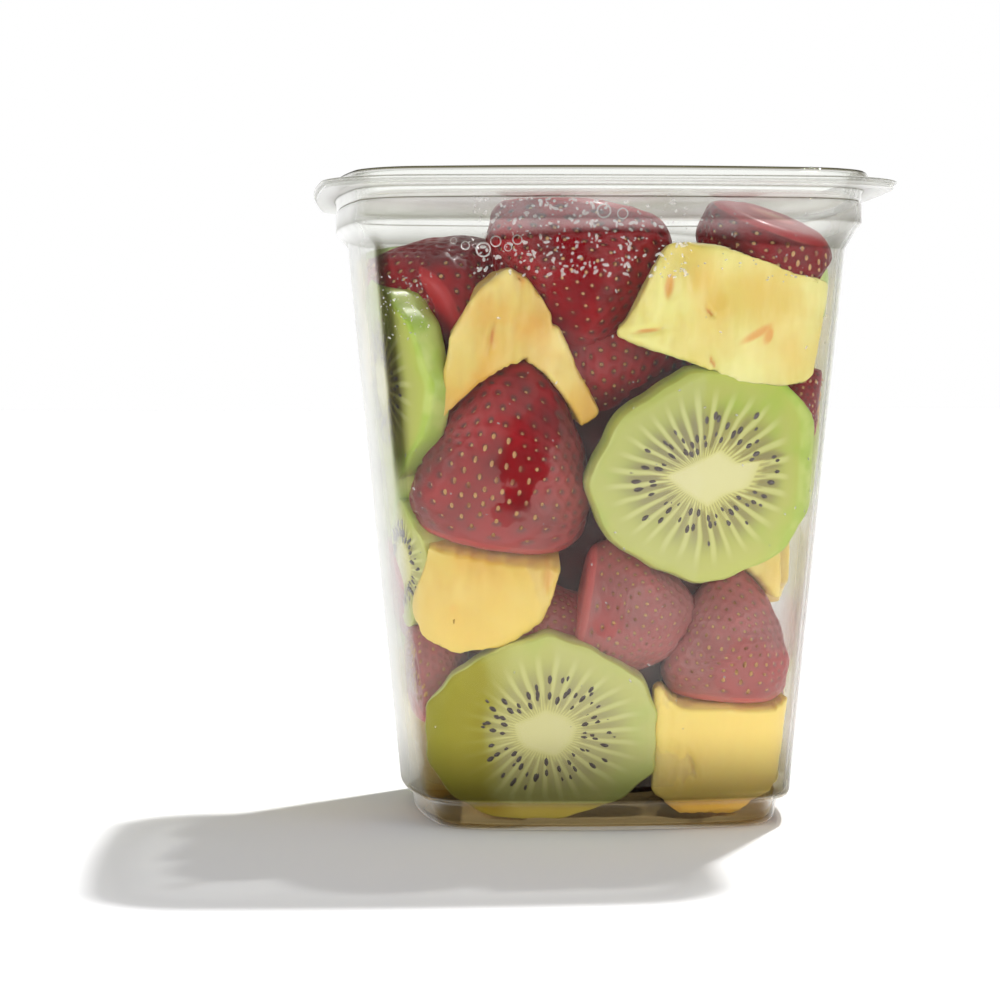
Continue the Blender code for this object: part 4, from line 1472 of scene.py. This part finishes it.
def carve_fibres(block, number):
    """Moves the points by fibre noise that is long up the block, and opens a few slits."""
    draw = random.Random(SEED * 10 + number)
    points = points_of(block)
    select_only(block)
    normals = np.empty(len(points) * 3)
    block.data.vertices.foreach_get("normal", normals)
    normals = normals.reshape(-1, 3)
    shift = Vector((number * 3.1, 0, 0))
    lift = np.empty(len(points))
    tall = points[:, 2].max() - points[:, 2].min()
    for index, point in enumerate(points):
        place = Vector(point) / MM
        fibre = noise.noise(Vector((place.x * 0.8, place.y * 0.8, place.z * 0.16)) + shift)
        broad = noise.noise(place * 0.11 + shift)
        fine = noise.noise(place * 0.9 + shift)
        lift[index] = 0.30 * fibre + 0.8 * broad + 0.12 * fine
    slit = near_spots(points, EYES.get(number, ()))
    for _ in range(1 if number in EYES else 4):
        centre = points[draw.randrange(len(points))]
        reach = (points - centre) / SLIT_REACH
        slit = np.maximum(slit, np.exp(-((reach**2).sum(axis=1))))
    points = points + normals * (lift * MM - slit * SLIT_DEPTH)[:, None]
    set_points(block, points)
    up = (points[:, 2] - points[:, 2].min()) / tall
    ochre = near_spots(points, [(x, z, size, size, 0) for x, z, size in OCHRE.get(number, ())])
    ripe = np.full(len(points), RIPE.get(number, draw.random()))
    fibre = np.clip(0.5 + lift * 0.6, 0, 1)
    set_marks(block, up=up, slit=slit, ochre=ochre, ripe=ripe, fibre=fibre)


# Which rounder pieces lie before each of the blocks that show
LIES_BEFORE = {6: (4,), 7: (4,), 10: (9,), 15: (9,)}
WAY_MARGIN = 0.7 * MM


def make_way(points, number):
    """Sinks the front of a block where a berry lies before it, so the two don't cut."""
    for other in LIES_BEFORE.get(number, ()):
        sizes, where = PLACES[other][1:3]
        matrix = np.array(where)
        local = (points - matrix[:3, 3]) @ matrix[:3, :3]
        share = local[:, 2] / (sizes[1] * MM) + 0.5
        reach = sizes[0] * MM / 2 * berry_radius(np.clip(share, 0, 1)) * 1.04 + WAY_MARGIN
        over = np.abs(share - 0.5) - 0.5
        inside = np.clip((reach - np.abs(local[:, 0])) / WAY_MARGIN, 0, 1) * np.clip(1 - over * 30, 0, 1)
        sink = np.maximum(0, 1.5 * MM - local[:, 1]) * inside
        points = points + sink[:, None] * matrix[:3, 1]
    return points


def make_pineapple():
    chunks = {"shown": [], "other": []}
    for number, (kind, sizes, where, gap) in enumerate(PLACES):
        if kind != "chunk":
            continue
        group = "shown" if number < len(FRONT) else "other"
        block = block_from(sizes[0], FRONT_VOXEL if group == "shown" else OTHER_VOXEL)
        block.name = f"pineapple_{number}"
        carve_fibres(block, number)
        points = pressed(carried(points_of(block), where), gap)[0]
        set_points(block, make_way(points, number))
        into_place(block, Matrix.Identity(4), (1, 1, 1), gap, number)
        chunks[group].append(block)
    flesh = pineapple_flesh()
    for group, blocks in chunks.items():
        finish_fruit(join_all(blocks, f"pineapple_{group}"), flesh)


# %% Pineapple finish
def pineapple_flesh():
    flesh = Finish(
        "pineapple flesh", Roughness=0.35, Subsurface_Weight=0.35, Subsurface_Scale=0.003,
        Subsurface_Radius=(1.0, 0.75, 0.25),
    )
    up, slit, ripe = flesh.mark("up"), flesh.mark("slit"), flesh.mark("ripe")
    patch, blotch = flesh.noise(70.0, 3.0), flesh.noise(85.0, 3.0)
    strands = flesh.noise(70.0, 3.0, stretch=(3.2, 3.2, 1.3))
    lifted = flesh.mark("fibre").step(0.25, 0.75)
    pale = flesh.layered(paint(210, 192, 96), (lifted, (220, 212, 130)))
    golden = flesh.layered(paint(196, 144, 42), (lifted, (210, 178, 80)))
    colour = flesh.layered(
        flesh.blend(ripe, pale, golden),
        (blotch.step(0.47, 0.66) * (0.2 + ripe * 0.55), (212, 150, 36)),
        (strands.step(0.48, 0.7) * 0.25, (240, 224, 150)),
        (patch.step(0.4, 0.75) * 0.5, (236, 228, 158)),
        ((1.0 - up.step(0.0, 0.5)) * ripe * 0.45, (216, 160, 54)),
        (flesh.mark("ochre") * (0.15 + patch * 0.6), (220, 170, 62)),
        # The slits take the brownish orange of the eye tissue, deepened by painted shade in the slit
        (slit.step(0.25, 0.85) * 0.75, (214, 140, 54)),
        # Painted light: paler and brighter low in the cup, where less light reaches the fruit
        (flesh.low_down() ** 3.0 * 0.85, (255, 224, 128)),
    )
    flesh.feed("Base Color", colour)
    flesh.wetted(flesh.layered(colour, (0.3, (226, 180, 50))))
    flesh.bump(strands, 0.0004, 0.6)
    return flesh.material


make_pineapple()

# %% [markdown]
# ## Core of the heap
#
# Between the pieces the eye reaches wet fruit in shadow. A lumpy core fills the middle,
# well behind the pieces that show, and is rounded off below the uppermost ones. Its dark
# strawberry red is painted shade, so that the gaps read as fruit in shadow.


# %% Core
def make_core():
    bpy.ops.mesh.primitive_uv_sphere_add(segments=96, ring_count=64, radius=1.0)
    core = bpy.context.object
    core.name = "core_fruit"
    points = points_of(core)
    share = (1 + np.clip(points[:, 2], -1, 1)) / 2
    z = FLOOR_Z + 2.0 * MM + (CORE_TOP_Z - FLOOR_Z) * share
    flat = np.hypot(points[:, 0], points[:, 1])
    angle = np.arctan2(points[:, 1], points[:, 0])
    reach = np.interp(angle, REACH_ANGLES, REACHES)
    full = np.clip(flat * np.where(share > 0.5, *CORE_FULLNESS), 0, 1)
    radius = (room_half(z) - CORE_INSET) * reach * full
    spots = np.column_stack([radius * np.cos(angle), radius * np.sin(angle), z])
    lump = np.array([noise.noise(Vector(spot) * 70) for spot in spots])
    small = np.array([noise.noise(Vector(spot) * 220) for spot in spots])
    radius = radius * (1 + 0.07 * lump + 0.02 * small)
    set_points(core, np.column_stack([radius * np.cos(angle), radius * np.sin(angle), z]))
    # Painted shade: the core is coloured a dark red that stands for fruit in shadow
    wet = Finish("fruit in shadow", Roughness=0.4, Specular_IOR_Level=0.15)
    patch = wet.noise(60.0, 3.0).step(0.42, 0.6)
    wet.feed("Base Color", wet.layered(paint(54, 8, 12), (patch, (82, 20, 18))))
    finish_fruit(core, wet.material)


make_core()

# %% [markdown]
# ## Juice
#
# A few millimetres of juice have gathered in the foot of the cup. It is a thin amber
# layer that reaches just into the wall, so that no line of air shows round it.

# %% Juice
JUICE_TOP = 5.6 * MM


def make_juice():
    foot_corner, low_bow = 11.0 * MM, 3.3 * MM
    into = WALL * 0.4
    levels = [
        ring(FOOT_HALF - 2.2 * MM - into, FLOOR_Z - 0.2 * MM, foot_corner - 1.5 * MM, low_bow),
        ring(FOOT_HALF - 0.9 * MM - into, 1.5 * MM, foot_corner - 0.5 * MM, low_bow),
        ring(FOOT_HALF - 0.45 * MM - into, JUICE_TOP, foot_corner - 0.5 * MM, low_bow),
        ring(FOOT_HALF - 2.4 * MM, JUICE_TOP - 0.3 * MM, foot_corner - 2.0 * MM, low_bow),
    ]
    juice = raise_wall("juice", levels)
    amber = Finish("juice")
    share = 0.02 + (amber.facing() ** 4.0) * 0.3
    amber.show(amber.mixed(share, amber.through(paint(240, 224, 190)), amber.mirror(0.05)))
    amber.tree.nodes.remove(amber.shader)
    juice.data.materials.append(amber.material)
    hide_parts("fruit_heap")
    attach(juice, "root")


make_juice()

# %% [markdown]
# ## Mist
#
# Breath of the fruit has misted the inside of the wall wherever nothing touches it. A thin
# film stands a little inside the wall: fruit pressed nearer to the wall than that shows
# clear, and all that lies deeper shows through the haze, which is thicker low in the cup.

# %% Mist
MIST_GAP = 1.35 * MM
MIST_LEVELS = 24
MIST_INNER = 0.9985


def make_mist():
    levels = []
    for z in np.linspace(9 * MM, SHOULDER_Z - CORNER_DROP - 1.0 * MM, MIST_LEVELS):
        half = float(room_half(z))
        reach = (half - MIST_GAP) / half
        levels.append([Vector((x * half * reach, y * half * reach, z)) for x, y in UNIT_OUTLINE])
    inner = []
    for level in reversed(levels):
        inner.append([Vector((x * MIST_INNER, y * MIST_INNER, z)) for x, y, z in level])
    mist = raise_wall("mist", levels + inner + [levels[0]])
    select_only(mist)
    bpy.ops.object.mode_set(mode="EDIT")
    select_end_faces(mist)
    bpy.ops.mesh.delete(type="FACE")
    bpy.ops.mesh.select_all(action="SELECT")
    bpy.ops.mesh.remove_doubles(threshold=0.00001)
    bpy.ops.mesh.normals_make_consistent(inside=False)
    bpy.ops.object.mode_set(mode="OBJECT")
    haze = Finish("mist", Roughness=1.0, Base_Color=(0.76, 0.73, 0.72), Specular_IOR_Level=0.0)
    patch = haze.noise(45.0, 3.0).step(0.3, 0.7)
    share = (0.008 + haze.low_down() * 0.048) * (0.3 + patch * 0.7)
    haze.show(haze.mixed(share, haze.through(), haze.principled()))
    mist.data.materials.append(haze.material)
    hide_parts("cup")
    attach(mist, "root")


make_mist()

# %% [markdown]
# ## Droplets and bubbles
#
# Juice has splashed the inside of the wall. Most droplets sit high on the front, over the
# big strawberry; a few larger ones hold air and show as small bright rings. Each droplet is
# one copy of a squashed ball, and each bubble one copy of a thin torus. Both are painted
# whitish, which stands for the glints that clear juice catches.

# %% Droplets and bubbles
# Each row: side, range across, range of height, how many, range of radius. In millimetres
SPLASHES = (
    ("front", (-28, 14), (111, 127), 330, (0.10, 0.36)),
    ("front", (-46, -36), (99, 112), 90, (0.08, 0.18)),
    ("front", (14, 40), (110, 124), 40, (0.08, 0.2)),
    ("front", (-44, 44), (20, 110), 60, (0.08, 0.22)),
    ("right", (-40, 40), (60, 124), 120, (0.1, 0.3)),
    ("back", (-40, 40), (60, 124), 120, (0.1, 0.3)),
    ("left", (-40, 40), (60, 124), 120, (0.1, 0.3)),
)
# Each row: side, across, height, radius
BUBBLES = (
    ("front", -26.0, 116.4, 1.35), ("front", -23.6, 118.0, 1.0), ("front", -29.5, 117.2, 0.8),
    ("front", -21.2, 116.8, 0.7), ("front", -31.8, 118.2, 0.6), ("front", -19.4, 118.3, 0.9),
    ("front", -2.5, 123.9, 1.3), ("front", 1.2, 123.4, 1.0), ("right", -12.0, 117.0, 1.2),
    ("right", -8.8, 118.4, 0.8), ("back", 9.0, 116.5, 1.3), ("left", 20.0, 117.5, 1.1),
)
DROP_GAP = 0.1 * MM
NEAR_FRONT = sorted(point for point in UNIT_OUTLINE if -point[1] >= abs(point[0]))
FRONT_X, FRONT_Y = (np.array(column) for column in zip(*NEAR_FRONT))


def on_wall(side, across, height, gap):
    """The place on the inside of one wall, with X along the wall and Y into the cup."""
    half = float(room_half(height)) - gap
    depth = half * float(np.interp(across / half, FRONT_X, FRONT_Y))
    turn = Matrix.Rotation(SIDE_TURNS[side] * math.pi / 2, 4, "Z")
    return turn @ Matrix.Translation((across, depth, height))


def make_splashes():
    draw = random.Random(SEED + 2)
    drops = []
    for side, across, height, count, sizes in SPLASHES:
        for _ in range(count):
            spot = (draw.uniform(*across) * MM, draw.uniform(*height) * MM)
            place = on_wall(side, *spot, DROP_GAP)
            size = draw.uniform(*sizes) * MM
            shape = Matrix.Diagonal((size, size * 0.4, size * draw.uniform(0.6, 2.2), 1))
            drops.append(place @ Matrix.Rotation(draw.uniform(0, math.pi), 4, "Y") @ shape)
    rings = [
        on_wall(side, across * MM, height * MM, DROP_GAP) @ Matrix.Scale(radius * MM, 4)
        for side, across, height, radius in BUBBLES
    ]
    bpy.ops.mesh.primitive_ico_sphere_add(subdivisions=2, radius=1.0)
    ball = bpy.context.object
    bpy.ops.mesh.primitive_torus_add(
        major_radius=1.0, minor_radius=0.13, major_segments=24, minor_segments=8,
        rotation=(math.pi / 2, 0, 0),
    )
    hoop = bpy.context.object
    bpy.ops.object.transform_apply(location=False, rotation=True, scale=False)
    # Painted highlights: the drops and rings are whitish, for the glints they catch, whiter towards their
    # edges
    white = Finish("juice with painted glints", Roughness=0.12, Base_Color=(0.86, 0.83, 0.82))
    share = 0.3 + white.facing().step(0.3, 0.9) * 0.5
    white.show(white.mixed(share, white.through(), white.principled()))
    for name, master, places in (("droplets", ball, drops), ("bubbles", hoop, rings)):
        piece = many_of(master, places, name)
        bpy.data.objects.remove(master)
        piece.data.materials.append(white.material)
        select_only(piece)
        bpy.ops.object.shade_smooth()
        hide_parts("cup")
        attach(piece, "root")
        print(name, len(places))


make_splashes()
